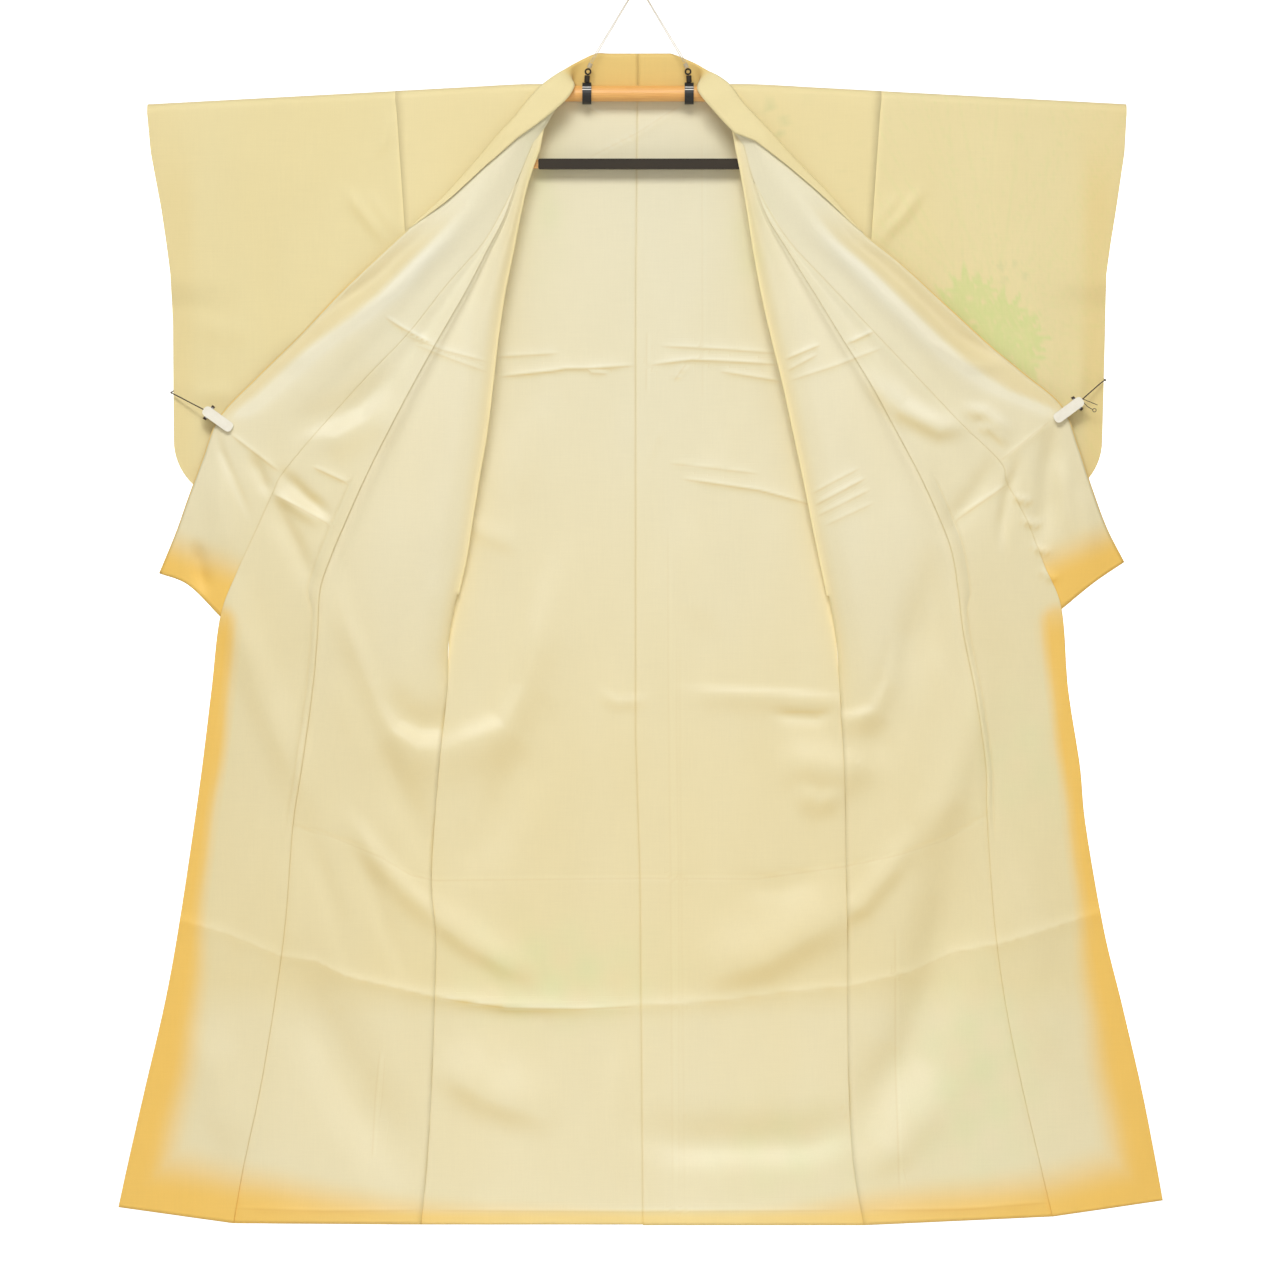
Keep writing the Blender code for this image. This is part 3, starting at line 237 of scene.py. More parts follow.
# Creases and soft folds: line (x, drop), height towards the viewer, width above or
# outside the line, width below or inside it, and 1 for a pressed edge or 2 for a soft roll.
SLEEVE_CREASES = (
    (((-396, 124), (-368, 160), (-332, 207)), 3.6, 9, 9, 2),
    (((-366, 128), (-344, 160), (-322, 192)), 2.2, 8, 8, 2),
    (((316, 206), (356, 162), (388, 118)), 4.0, 9, 9, 2),
    (((308, 186), (332, 160), (356, 128)), 2.2, 8, 8, 2),
    (((-330, 24), (-336, 60), (-350, 90)), 1.6, 8, 8, 2),
    (((330, 120), (334, 170), (330, 220)), 1.6, 8, 8, 2),
    (((-620, 300), (-560, 318), (-500, 322)), 1.6, 14, 18, 2),
    (((-610, 410), (-570, 400), (-530, 404)), 1.8, 12, 14, 2),
    (((600, 330), (585, 420), (578, 500)), 2.0, 14, 16, 2),
    (((560, 320), (552, 380), (560, 430)), 1.2, 10, 12, 2),
    (((-480, 20), (-470, 180), (-455, 300)), 1.2, 40, 40, 2),
    (((470, 20), (478, 170), (500, 330)), 1.2, 40, 40, 2),
)
FRONT_CREASES = (
    (((-338, 300), (-310, 318), (-275, 336)), 1.9, 5, 2.8, 1),
    (((-435, 500), (-386, 523)), 1.8, 5, 2.8, 1),
    (((-490, 536), (-450, 556), (-409, 579)), 1.6, 5, 3.2, 1),
    (((-544, 457), (-480, 506)), 1.6, 5, 3.2, 1),
    (((278, 337), (316, 319)), 1.9, 5, 2.8, 1),
    (((420, 575), (494, 523)), 1.8, 5, 3, 1),
    (((552, 440), (485, 494)), 1.6, 5, 3.2, 1),
    (((197, 357), (244, 337)), 1.8, 6, 4, 1),
    (((200, 372), (240, 350)), 1.4, 6, 4, 1),
    (((232, 536), (296, 502)), 1.3, 6, 4, 1),
    (((236, 552), (305, 515)), 2.0, 6, 4, 1),
    (((240, 566), (312, 530)), 1.4, 6, 4, 1),
    (((250, 579), (316, 548)), 1.1, 6, 4, 1),
    (((-315, 322), (-262, 344), (-200, 360)), 1.2, 6, 4, 1),
    (((-300, 336), (-250, 356), (-200, 374)), 1.0, 6, 4, 1),
    (((200, 386), (262, 366), (330, 340)), 1.2, 6, 4, 1),
    (((-445, 468), (-400, 463), (-360, 440), (-325, 400)), 5.0, 10, 26, 2),
    (((-475, 462), (-414, 435), (-374, 416), (-320, 366)), -5.6, 24, 12, 2),
    (((296, 366), (350, 424), (402, 450), (452, 444)), 9.0, 16, 13, 2),
    (((425, 420), (462, 430), (505, 462)), 5.0, 10, 9, 2),
    (((448, 444), (472, 452), (500, 474)), 3.4, 7, 6, 2),
    (((486, 480), (470, 505), (452, 536), (428, 566), (408, 610)), -4.2, 14, 15, 2),
    (((-486, 500), (-473, 512), (-442, 543), (-405, 572)), -6.5, 9, 9, 2),
    (((-498, 526), (-462, 552), (-420, 582)), 4.0, 8, 8, 2),
    (((-500, 525), (-474, 575), (-455, 611), (-425, 680)), -6.0, 11, 14, 2),
    (((-518, 480), (-511, 500), (-500, 525), (-488, 545)), -5.6, 9, 9, 2),
    (((-566, 440), (-557, 480), (-536, 530), (-512, 585)), -3.2, 6, 5, 2),
    (((558, 425), (552, 471), (549, 511), (548, 550), (540, 620)), -8.5, 14, 15, 2),
    (((512, 482), (497, 530), (488, 575), (484, 620)), -6.0, 7, 8, 2),
    (((498, 538), (514, 547), (532, 546)), 3.0, 6, 4, 2),
    (((508, 568), (528, 579), (546, 576)), 3.0, 6, 4, 2),
    (((522, 602), (541, 615), (558, 614)), 3.0, 6, 4, 2),
    (((534, 636), (552, 650), (568, 650)), 3.0, 6, 4, 2),
    (((-560, 480), (-556, 560), (-545, 650)), 4.5, 20, 20, 2),
    (((560, 480), (572, 540), (585, 610)), 3.0, 14, 12, 2),
    (((-594, 596), (-588, 640), (-576, 676)), -7.4, 12, 9, 2),
    (((590, 520), (600, 570), (612, 620)), 2.6, 12, 12, 2),
    (((-425, 590), (-395, 704), (-364, 790), (-332, 856), (-300, 880), (-262, 884),
      (-190, 870)), 10.0, 15, 42, 2),
    (((-350, 790), (-318, 838), (-290, 850), (-225, 846)), -6.5, 26, 12, 2),
    (((-440, 650), (-362, 831), (-316, 945), (-279, 1019), (-235, 1090)), -7.0, 24, 22, 2),
    (((-405, 950), (-348, 1028), (-310, 1070), (-268, 1108), (-215, 1135)), 7.0, 14, 17, 2),
    (((-385, 990), (-370, 1033), (-345, 1100), (-310, 1193)), -3.6, 14, 12, 2),
    (((-450, 960), (-431, 1028), (-405, 1110), (-387, 1190)), -4.0, 16, 14, 2),
    (((-468, 1120), (-432, 1240), (-378, 1345), (-325, 1430), (-280, 1490)), -13.0, 42, 38, 2),
    (((-552, 620), (-532, 715), (-500, 808), (-455, 925), (-430, 990)), 9.0, 24, 24, 2),
    (((-600, 1240), (-570, 1300), (-540, 1440)), 6.4, 32, 32, 2),
    (((402, 600), (369, 739), (342, 809), (319, 900), (296, 1030)), -9.0, 36, 26, 2),
    (((468, 740), (446, 845), (415, 945), (350, 1050)), 9.0, 26, 26, 2),
    (((190, 905), (268, 910), (300, 900), (322, 866)), 7.5, 28, 30, 2),
    (((240, 836), (290, 838), (318, 828), (338, 790), (352, 720)), 6.0, 9, 22, 2),
    (((385, 590), (396, 690), (400, 780)), -3.0, 14, 12, 2),
    (((230, 1128), (300, 1088), (340, 1040), (372, 980)), 7.0, 20, 15, 2),
    (((440, 930), (420, 1083), (394, 1193), (364, 1286), (292, 1390), (230, 1425)), -17.0, 40, 36, 2),
    (((280, 1456), (350, 1415), (425, 1320)), 6.0, 30, 25, 2),
    (((500, 1020), (530, 1180), (570, 1330)), 6.4, 32, 32, 2),
    (((-265, 620), (-262, 700), (-262, 780)), 3.5, 15, 18, 2),
    (((-545, 1494), (-420, 1498), (-291, 1497)), 1.4, 6, 3, 1),
    (((303, 1497), (430, 1496), (556, 1486)), 1.4, 6, 3, 1),
    (((346, 1110), (347, 1300), (352, 1480)), 1.2, 5, 9, 1),
    (((-345, 1280), (-352, 1350), (-356, 1430)), 1.1, 9, 5, 1),
)
BACK_CREASES = (
    (((-190, 352), (-106, 347)), 1.3, 7, 3, 1),
    (((-190, 379), (-114, 371), (-97, 368), (-72, 368), (-38, 366), (-1, 363)), 2.2, 8, 2.6, 1),
    (((-66, 373), (-42, 374)), 1.6, 3, 3, 1),
    (((13, 363), (64, 357), (72, 356), (120, 358), (190, 362)), 2.0, 7, 2.8, 1),
    (((27, 337), (120, 342), (188, 347)), 1.4, 7, 3, 1),
    (((109, 371), (193, 385)), 1.7, 8, 3.4, 1),
    (((66, 362), (50, 384)), 1.6, 3, 4, 1),
    (((13, 318), (12, 400)), 1.0, 2.6, 3.4, 1),
    (((87, 50), (88, 420)), 0.5, 3, 5, 1),
    (((34, 440), (22, 470), (12, 505)), 1.2, 4, 5, 2),
    (((59, 15), (27, 35), (1, 52), (-38, 72), (-66, 86)), 1.0, 5, 3, 1),
    (((-72, 14), (-49, 27)), 0.9, 5, 3, 1),
    (((56, 515), (163, 531), (237, 551)), 2.0, 9, 3.2, 1),
    (((40, 494), (165, 509)), 1.2, 8, 4, 1),
    (((-250, 560), (-205, 590), (-150, 612)), 2.2, 16, 12, 2),
    (((-120, 395), (-150, 480), (-170, 560)), 2.4, 26, 22, 2),
    (((-100, 430), (-90, 560), (-80, 700)), 1.8, 26, 34, 2),
    (((120, 420), (110, 560), (120, 700)), 1.8, 26, 34, 2),
    (((30, 801), (62, 801), (130, 804), (200, 807), (262, 812), (320, 816)), 3.6, 7, 20, 2),
    (((-60, 798), (-28, 816), (24, 812)), 2.2, 7, 10, 2),
    (((170, 828), (205, 834), (240, 836), (268, 826)), -3.8, 7, 9, 2),
    (((185, 880), (225, 898), (262, 908), (310, 900)), 8.0, 28, 30, 2),
    (((205, 930), (242, 950), (285, 940)), 4.6, 13, 18, 2),
    (((-340, 890), (-262, 884), (-225, 868), (-176, 850), (-148, 796), (-126, 694),
      (-104, 590)), 10.0, 17, 40, 2),
    (((-112, 720), (-133, 790), (-160, 900), (-197, 991), (-255, 1070)), -7.0, 30, 28, 2),
    (((-310, 1070), (-262, 1112), (-225, 1140), (-178, 1168), (-120, 1190)), 7.6, 26, 16, 2),
    (((60, 1196), (170, 1160), (250, 1114), (320, 1076)), 12.0, 48, 28, 2),
    (((120, 1062), (190, 1066), (260, 1046)), -2.4, 18, 17, 2),
    (((350, 1340), (288, 1388), (222, 1408), (58, 1410), (-50, 1380)), -9.0, 24, 34, 2),
    (((-290, 1290), (-200, 1345), (-100, 1380)), 9.0, 46, 24, 2),
    (((-200, 420), (-185, 540), (-190, 680)), 3.0, 30, 30, 2),
    (((60, 560), (80, 680), (130, 740)), 3.0, 36, 24, 2),
    (((41, 560), (42, 800), (45, 1060), (48, 1500)), 0.6, 3, 3, 1),
    (((57, 720), (58, 900), (61, 1200), (64, 1500)), 0.35, 3, 3, 1),
    (((-285, 1497), (0, 1499), (285, 1497)), 1.4, 6, 3, 1),
    (((-30, 1260), (-34, 1370), (-30, 1480)), 2.6, 18, 18, 2),
)
CREASES = {"sleeve": SLEEVE_CREASES, "front": FRONT_CREASES, "back": BACK_CREASES}
# Share of a crease's length over which its ends fade, and share of its height that is used
END_SHARES = {1: 0.22, 2: 0.38}
RISE_SHARES = {1: 1.0, 2: 0.85}
# Sharp crease left by storage, right across the skirt.
STORAGE_FOLD = ((-612, 1108), (-550, 1126), (-477, 1157), (-434, 1162), (-390, 1184),
                (-273, 1211), (-176, 1225), (-80, 1227), (1, 1223), (111, 1216), (208, 1203),
                (282, 1197), (367, 1177), (422, 1152), (490, 1138), (545, 1121), (619, 1097))
STORAGE_HEIGHT = 5.6
# Middle of its strongest stretch, half the stretch, and the fold's width above and below
# the line, outside that stretch and in it
STORAGE_STRONG = (-165, 115)
STORAGE_ABOVE = (7.0, 16.0)
STORAGE_BELOW = (16.0, 6.0)

# Joint seam of the two linings: the same line over the whole skirt.
HEM_JOINT = ((-463, 983), (-413, 994), (-345, 1022), (-304, 1047), (-271, 1054), (1, 1051),
             (159, 1052), (279, 1035), (351, 1019), (411, 1000), (468, 967))

# Stretches of the two lines above that look pressed, with a painted shade line and a painted highlight
# line, and how strongly
PAINTED_STORAGE_LINES = [(STORAGE_FOLD[:6], 0.3), (STORAGE_FOLD[5:9], 1.15), (STORAGE_FOLD[8:], 0.25),
                 (HEM_JOINT, 0.55)]

# How far from a seam or a pressed line its tint may reach
LINE_REACH = 14.0
# Drop at which the cloth no longer follows the slope of the rod's arms
SAG_END = 200.0
# Angles round the rod at which the cloth over it has a row
ROD_ANGLES = range(0, 91, 15)
# Drop at which the lapel's fold starts, behind the collar
LAPEL_HEAD = 16.0
# The collar tip's lower edge is this much higher midway than a straight one
TIP_CURVE = {"right": 12.0, "left": 3.0}
# Rows of the front whose creases need smaller cells
FINE_ROWS = (4, 5, 7, 8)
FINE_CELL = 3.3
# Steps between neighbouring columns of knots
FRONT_STEPS = (8, 16, 8)
UNDER_STEPS = (6, 6, 5)
OKUMI_STEPS = (10, 10)
COLLAR_STEPS = (10, 10)
TURN_STEPS = (3, 3)
FLAP_STEPS = (2, 4, 4)
# Columns of the back inside and outside the neck's edge, its rows' heights, and the drops
# between which its rows are finer
BACK_COLUMNS = (17, 37)
BACK_CELL = 5.9
FINE_BACK_CELL = 2.6
FINE_BACK = ((326, 396), (498, 556))
SLEEVE_COLUMNS = 92
SLEEVE_ROWS = 89
# Places of the columns added beside a seam, as shares of the first and the last cell
FIRST_SHARES = (0.16, 0.45)
LAST_SHARES = (0.55, 0.84)
# Columns beside a seam that are rolled into it
ROLLED_COLUMNS = 5
# Tints of folds: how strongly a slope that faces down shades the cloth and one that faces
# up lightens it, and the shares of both on the sleeves
SLOPE_STEP = 1.5
SHADE_PER_SLOPE = 1.6
MOST_SHADE = 0.8
LIGHT_PER_SLOPE = 3.0
SLEEVE_TINT_SHARES = (0.6, 0.45)
# Half of the gap between a sleeve's leaves where they are closed
LEAF_GAP = 0.75

# The opened collar's waves: place across it from the seam (0) to the free edge (1), width
# as a share of the collar's, height towards the viewer, drops where it ends, and whether
# it shifts with the ridge.
COLLAR_WAVES = (
    (1.00, 0.10, 2.8, 330, 420, False),
    (0.77, 0.13, -7.0, 370, 430, True),
    (0.50, 0.12, 4.2, 395, 430, True),
    (0.22, 0.14, -2.0, 400, 470, False),
)
# Drops and places across the collar of the ridge, which runs to the clip
RIDGE_PATHS = {
    "right": ((270, 0.50), (304, 0.57), (335, 0.67), (362, 0.73), (407, 0.77), (440, 0.84)),
    "left": ((300, 0.50), (358, 0.50), (399, 0.63), (428, 0.84)),
}

# Widths of the gold edge, where it is full and where it is gone, high up and at the hem
GOLD_FULL = (13, 25)
GOLD_GONE = (33, 81)
HEM_DROP = 1519.0
# The gold shading above the hem, at distances from the centre: drop of its lower edge,
# strength, and how high it reaches
HEM_EDGE = ((0, 1519), (300, 1518), (550, 1511), (700, 1488))
HEM_STRENGTH = ((0, 0.30), (130, 0.32), (250, 0.52), (370, 0.75), (500, 0.95), (600, 1.0))
HEM_REACH = ((0, 24), (200, 38), (450, 74), (650, 110))
# Drops, and how warm the lining is there
LINING_FALL = ((150, 0.0), (420, 0.18), (700, 0.5), (900, 0.8), (1190, 0.95), (1240, 0.6), (1480, 0.45))
# Painted shade on the back beside the turned fold, as strength and reach: two of painted shade and one of
# painted glow, for light that comes through
LAPEL_SHADES = ((0.3, 14.0), (0.16, 60.0))
LAPEL_LIGHT = (0.42, 4.5)
# Warm tint and painted shade of the cuffs
CUFF_WARMTH = {"right": 0.06, "left": 0.12}
CUFF_SHADE = {"right": 0.2, "left": 0.42}
# Faint patches where the outer cloth's motifs show through: middle, half width, half
# height, strength
HAZES = (
    ((-110, 1180), 110, 60, 0.5),
    ((455, 1320), 80, 130, 0.45),
    ((200, 1420), 90, 60, 0.3),
    ((520, 890), 70, 90, 0.25),
    ((150, 200), 30, 60, 0.22),
    ((-125, 120), 26, 110, 0.3),
)
# Leaf spray on the left sleeve: centre, length, direction in degrees, lobes
LEAVES = (
    ((424, 290), 44, 130, 7), ((440, 268), 44, 96, 7), ((452, 300), 46, 84, 7),
    ((462, 272), 36, 104, 5), ((476, 300), 48, 70, 7), ((440, 304), 44, 150, 7),
    ((468, 322), 50, 118, 7), ((494, 300), 40, 60, 5), ((496, 322), 48, 36, 7),
    ((516, 318), 34, 44, 5), ((520, 334), 40, 14, 5), ((488, 342), 46, 100, 7),
    ((508, 352), 44, -6, 7), ((514, 362), 36, -50, 5), ((478, 336), 44, 160, 7),
    ((500, 346), 44, 140, 7),
)
GREY_LEAVES = (
    ((487, 238), 16, 100, 3), ((503, 232), 15, 60, 3), ((512, 246), 14, 20, 3),
    ((495, 252), 12, 150, 3), ((176, 28), 15, 120, 3), ((190, 40), 15, 40, 3),
    ((184, 52), 12, -30, 3),
)

# Each panel's flat size in metres, what carries it, and the solids that its outer cloth
# and its lining replace
PANELS = {
    "front": ((0.25, 1.60), "hanger_arm_{}", ("front", "front_skirt", "front_under"),
              ("front_upper_lining", "front_lower_lining")),
    "okumi": ((0.15, 1.38), "hanger_rod", ("okumi",), ("okumi_upper_lining", "okumi_lower_lining")),
    "collar": ((0.115, 0.98), "hanger_rod", ("collar",), ("collar_lining", "collar_tip_lining")),
    "back": ((0.30, 1.53), "hanger_rod", ("back",), ("back_upper_lining", "back_lower_lining")),
    "sleeve": ((0.34, 1.09), "hanger_arm_{}", ("sleeve_front", "sleeve_back"), ()),
}

# Hanger
STEM_TOP = 24.0
EYE_RADIUS = 3.6
EYE_WIRE = 2.4
# From the strap's middle to the crimp's, and from there to the lines' lower ends
CRIMP_SHIFT = 2.8
CRIMP_LENGTH = 7.4
RING_BOTTOM_DROP = -ROD_DROP + 2 * RING_INNER_RADIUS + RING_WIRE
GAP = 0.3
SPRING_RADIUS = 2.1
SPRING_WIRE = 0.9
SPRING_TURNS = 2.5
SPRING_STEPS = 16
SPRING_PITCH = 1.2
# Gap between the jaws' edge and the first coil
SPRING_GAP = 0.9
TAIL_DIAMETER = 1.0
TAIL_LOOP_RADIUS = 2.3
# Widths of the eased edges, in metres
CLIP_BEVEL = 0.0011
BAR_BEVEL = 0.0007
# Drops, from the rod's axis, of the strap's white lines, and half their width in metres
STRAP_LINES = (-7.6, -4.2)
STRAP_LINE_HALF = 0.00055

# Colours as the camera should see them, in sRGB from 0 to 255.
COLOURS = {
    "outer": (236, 221, 168),
    "lining": (236, 229, 199),
    "fall": (231, 216, 168),
    "gold": (243, 199, 100),
    "band": (246, 224, 150),
    "leaf": (206, 221, 140),
    "grey_leaf": (214, 211, 156),
    "haze": (214, 224, 170),
}
# Tones that the cloth's colour is multiplied by: slow random drift, painted shade, painted highlight on
# raised folds, painted shade along seams
DRIFT_TONE = (0.985, 0.955, 0.86, 1)
SHADE_TONE = (0.96, 0.86, 0.62, 1)
PAINTED_HIGHLIGHT_TONE = (1.05, 1.075, 1.17, 1)
SEAM_PAINTED_SHADE_TONE = (0.96, 0.85, 0.62, 1)
# Painted shade line and painted highlight line along a pressed crease: distance below it, half width,
# strength, tone
CREASE_SHADE_AND_HIGHLIGHT_LINES = (
    (1.3, 1.9, 0.46, (0.9, 0.8, 0.62, 1)),
    (-2.6, 3.2, 0.36, (1.09, 1.13, 1.22, 1)),
)
# Darkest and palest wood
WOOD_TONES = ((234, 168, 88), (246, 189, 104))
# Painted glow: an emission colour that stands in for light that comes through the cloth
THROUGH_LIGHT = (0.40, 0.34, 0.175, 1)

# The camera, the backdrop and the lights are in metres
CAMERA_LENS = 167.9
CAMERA_PLACE = (0.00268, -8.0, -0.8978)
FLOOR = -1.95
BACKDROP_DEPTH = 12.0
BACKDROP_BEND = 0.9
BACKDROP_GLOW = 0.84
SKY_COLOUR = (1.0, 0.94, 0.84, 1)
SKY_STRENGTH = 0.32
# Lights: name, kind, place, aim, watts, width and height (of a spot: radius, cone in
# degrees), colour
LIGHTS = (
    ("key", "AREA", (-0.3, -3.1, 2.2), (0, 0, -0.7), 104.0, (2.2, 1.3), (0.98, 1.0, 1.03)),
    ("front_fill", "AREA", (0.2, -4.5, -0.4), (0, 0, -0.5), 20.0, (2.5, 1.5), (1.0, 0.99, 0.97)),
    ("low_key_right", "SPOT", (-0.3, -3.1, 2.0), (-0.5, 0, -1.9), 107.0, (0.4, 34), (1.0, 0.99, 0.97)),
    ("low_key_left", "SPOT", (0.3, -3.1, 2.0), (0.5, 0, -1.9), 107.0, (0.4, 34), (1.0, 0.99, 0.97)),
    ("floor_bounce", "AREA", (0, -0.7, -1.93), (0, 0, -1.62), 1.1, (2.0, 0.25), (1.0, 0.97, 0.9)),
)


def world(points):
    """Hanger millimetres (x, drop, depth) to metres in the part's frame."""
    points = np.asarray(points, float)
    return np.stack([points[..., 0], points[..., 2], -(ROD_DROP + points[..., 1])], -1) * MM


def spline(points, counts):
    """A smooth curve through points[0], points[1] ..., with counts[i] steps after points[i]."""
    points = np.asarray(points, float)
    ends = np.concatenate([2 * points[:1] - points[1:2], points,
                           2 * points[-1:] - points[-2:-1]])
    pieces = []
    for i, count in enumerate(counts):
        a, b, c, d = ends[i:i + 4]
        t = (np.arange(count) / count).reshape(-1, *([1] * a.ndim))
        pieces.append(0.5 * (2 * b + (c - a) * t + (2 * a - 5 * b + 4 * c - d) * t ** 2
                             + (3 * b - a - 3 * c + d) * t ** 3))
    pieces.append(points[-1:])
    return np.concatenate(pieces)


def across(points, counts):
    """The same along the second axis."""
    return np.swapaxes(spline(np.swapaxes(points, 0, 1), counts), 0, 1)


def steps_for(points, cell):
    """Steps between successive rows so that no cell is longer than the given length."""
    gaps = np.linalg.norm(np.diff(points, axis=0), axis=-1)
    gaps = gaps.reshape(len(gaps), -1).max(axis=1)
    return [max(1, int(math.ceil(gap / cell))) for gap in gaps]


def closer_borders(grid, sides=(True, True)):
    """Adds columns close to the first and last one, so that a seam's edge can be rolled."""
    columns = [grid[:, :1]]
    if sides[0]:
        columns += [grid[:, :1] * (1 - s) + grid[:, 1:2] * s for s in FIRST_SHARES]
    columns.append(grid[:, 1:-1])
    if sides[1]:
        columns += [grid[:, -2:-1] * (1 - s) + grid[:, -1:] * s for s in LAST_SHARES]
    columns.append(grid[:, -1:])
    return np.concatenate(columns, axis=1)


def all_cells(grid):
    return np.ones((grid.shape[0] - 1, grid.shape[1] - 1), bool)


def grid_normals(grid, keep, outward):
    """Unit normals from the kept cells; a point without any takes its row's nearest one."""
    a, b, c, d = grid[:-1, :-1], grid[:-1, 1:], grid[1:, 1:], grid[1:, :-1]
    faces = np.cross(c - a, d - b) * outward
    lengths = np.linalg.norm(faces, axis=2, keepdims=True)
    faces = np.where(lengths > 1e-5, faces / np.maximum(lengths, 1e-9), 0.0) * keep[..., None]
    normals = np.zeros_like(grid)
    normals[:-1, :-1] += faces
    normals[:-1, 1:] += faces
    normals[1:, 1:] += faces
    normals[1:, :-1] += faces
    lengths = np.linalg.norm(normals, axis=2)
    missing = lengths < 1e-6
    normals = normals / np.maximum(lengths, 1e-9)[..., None]
    for i, j in np.argwhere(missing):
        line = np.flatnonzero(~missing[i])
        if len(line):
            normals[i, j] = normals[i, line[np.abs(line - j).argmin()]]
    return normals


def line_distance(points, line):
    """Signed distance of (x, drop) points from a polyline, and the share of its length."""
    best = np.full(points.shape[:-1], 1e9)
    sign = np.ones(points.shape[:-1])
    share = np.zeros(points.shape[:-1])
    line = np.asarray(line, float)
    lengths = np.linalg.norm(np.diff(line, axis=0), axis=1)
    starts = np.concatenate([[0.0], np.cumsum(lengths)])
    for (a, b), length, start in zip(zip(line, line[1:]), lengths, starts):
        along = (b - a) / length
        offset = points - a
        t = np.clip(offset @ along, 0.0, length)
        nearest = np.linalg.norm(offset - t[..., None] * along, axis=-1)
        side = np.sign(offset[..., 1] * along[0] - offset[..., 0] * along[1])
        closer = nearest < best
        best = np.where(closer, nearest, best)
        sign = np.where(closer, side, sign)
        share = np.where(closer, (start + t) / starts[-1], share)
    return best * sign, share


def smooth(value, low, high):
    t = np.clip((value - low) / (high - low), 0.0, 1.0)
    return t * t * (3 - 2 * t)


def bell(distance, width):
    return np.exp(-(distance / width) ** 2)


def blend(pair, share):
    return pair[0] + (pair[1] - pair[0]) * share


def look_up(table, at, column=1):
    return np.interp(at, [row[0] for row in table], [row[column] for row in table])


def relief(points, layer):
    """Height towards the viewer of the creases and folds at (x, drop) points."""
    x, drop = points[..., 0], points[..., 1]
    height = np.zeros(x.shape)
    for line, rise, near, far, kind in CREASES[layer]:
        reach = 3 * max(near, far)
        low = np.min(line, axis=0) - reach
        high = np.max(line, axis=0) + reach
        if (points.max(axis=(0, 1)) < low).any() or (points.min(axis=(0, 1)) > high).any():
            continue
        distance, share = line_distance(points, line)
        width = np.where(distance < 0, near, far)
        taper = smooth(np.minimum(share, 1 - share), -0.02, END_SHARES[kind])
        height += RISE_SHARES[kind] * rise * taper * np.exp(-(np.abs(distance) / width) ** kind)
    if layer != "sleeve":
        distance, _ = line_distance(points, STORAGE_FOLD)
        middle, half = STORAGE_STRONG
        strong = bell(x - middle, half)
        uneven = 0.40 + 0.10 * np.sin(x / 47.0) * np.cos(x / 131.0)
        uneven += 0.9 * strong
        width = np.where(distance < 0, blend(STORAGE_ABOVE, strong), blend(STORAGE_BELOW, strong))
        height += STORAGE_HEIGHT * uneven * np.exp(-np.abs(distance) / width)
        distance, _ = line_distance(points, HEM_JOINT)
        height -= 0.5 * bell(distance, 2.6)
    # Fine unevenness of three sizes, which fades out towards the rod
    ripple = (0.45 * np.sin(x / 23.0 + drop / 160.0) * np.sin(drop / 71.0 + x / 300.0)
              + 0.3 * np.sin(x / 9.7 + drop / 53.0) * np.cos(drop / 37.0 - x / 90.0)
              + 0.12 * np.sin(x / 4.9 - drop / 17.0) * np.sin(drop / 21.0 + x / 33.0))
    return height + ripple * smooth(drop, 60, 260)


def pressed_line_shading(points, layer):
    """Distance below the nearest pressed line, within LINE_REACH, and the strength of its painted shade
    and highlight lines.
    """
    lines = [(line, min(1.0, rise / 2.0)) for line, rise, _, _, kind in CREASES[layer] if kind == 1]
    if layer != "sleeve":
        lines += PAINTED_STORAGE_LINES
    best = np.full(points.shape[:-1], LINE_REACH)
    crease_shading = np.zeros(points.shape[:-1])
    for line, strength in lines:
        distance, share = line_distance(points, line)
        ends = smooth(np.minimum(share, 1 - share), -0.002, 0.08)
        closer = np.abs(distance) < np.abs(best)
        best = np.where(closer, distance, best)
        crease_shading = np.where(closer, strength * ends, crease_shading)
    return best, crease_shading


def along_rows(grid):
    """Distance of each point along its row."""
    lengths = np.linalg.norm(np.diff(grid, axis=1), axis=2)
    return np.concatenate([np.zeros((len(grid), 1)), np.cumsum(lengths, axis=1)], axis=1)


def across_share(grid):
    along = along_rows(grid)
    return along / np.maximum(along[:, -1:], 1e-6)


def seam_distance(grid, borders):
    """Distance along each row from its first (0) or last (-1) point, within LINE_REACH.

    borders: what is added to the distance from each of them, for a fainter seam.
    """
    along = along_rows(grid)
    best = np.full(along.shape, LINE_REACH)
    if 0 in borders:
        best = np.minimum(best, along + borders[0])
    if -1 in borders:
        best = np.minimum(best, along[:, -1:] - along + borders[-1])
    return best


def points_at(places, along, row):
    return np.stack([np.interp(places, along, row[:, axis]) for axis in range(3)], -1)


def rod_sag(x):
    return np.maximum(0.0, ROD_ARM_SLOPE * (np.abs(x) - ROD_CENTRE_HALF))


def row_over_rod(side, x, angle, reach):
    """Points over the rod, at an angle from its top."""
    turn = math.radians(angle)
    return np.stack([SIDES[side] * x, rod_sag(x) - FRONT_DEPTH * math.cos(turn),
                     np.full(len(x), reach * math.sin(turn))], -1)


def hanging_row(side, x, drop, depth):
    """Points below the rod, which follow its slope near it."""
    fade = max(0.0, 1 - drop / SAG_END)
    return np.stack([SIDES[side] * x, drop + rod_sag(x) * fade, np.zeros(len(x)) + depth], -1)


SIDE_LINES = {}


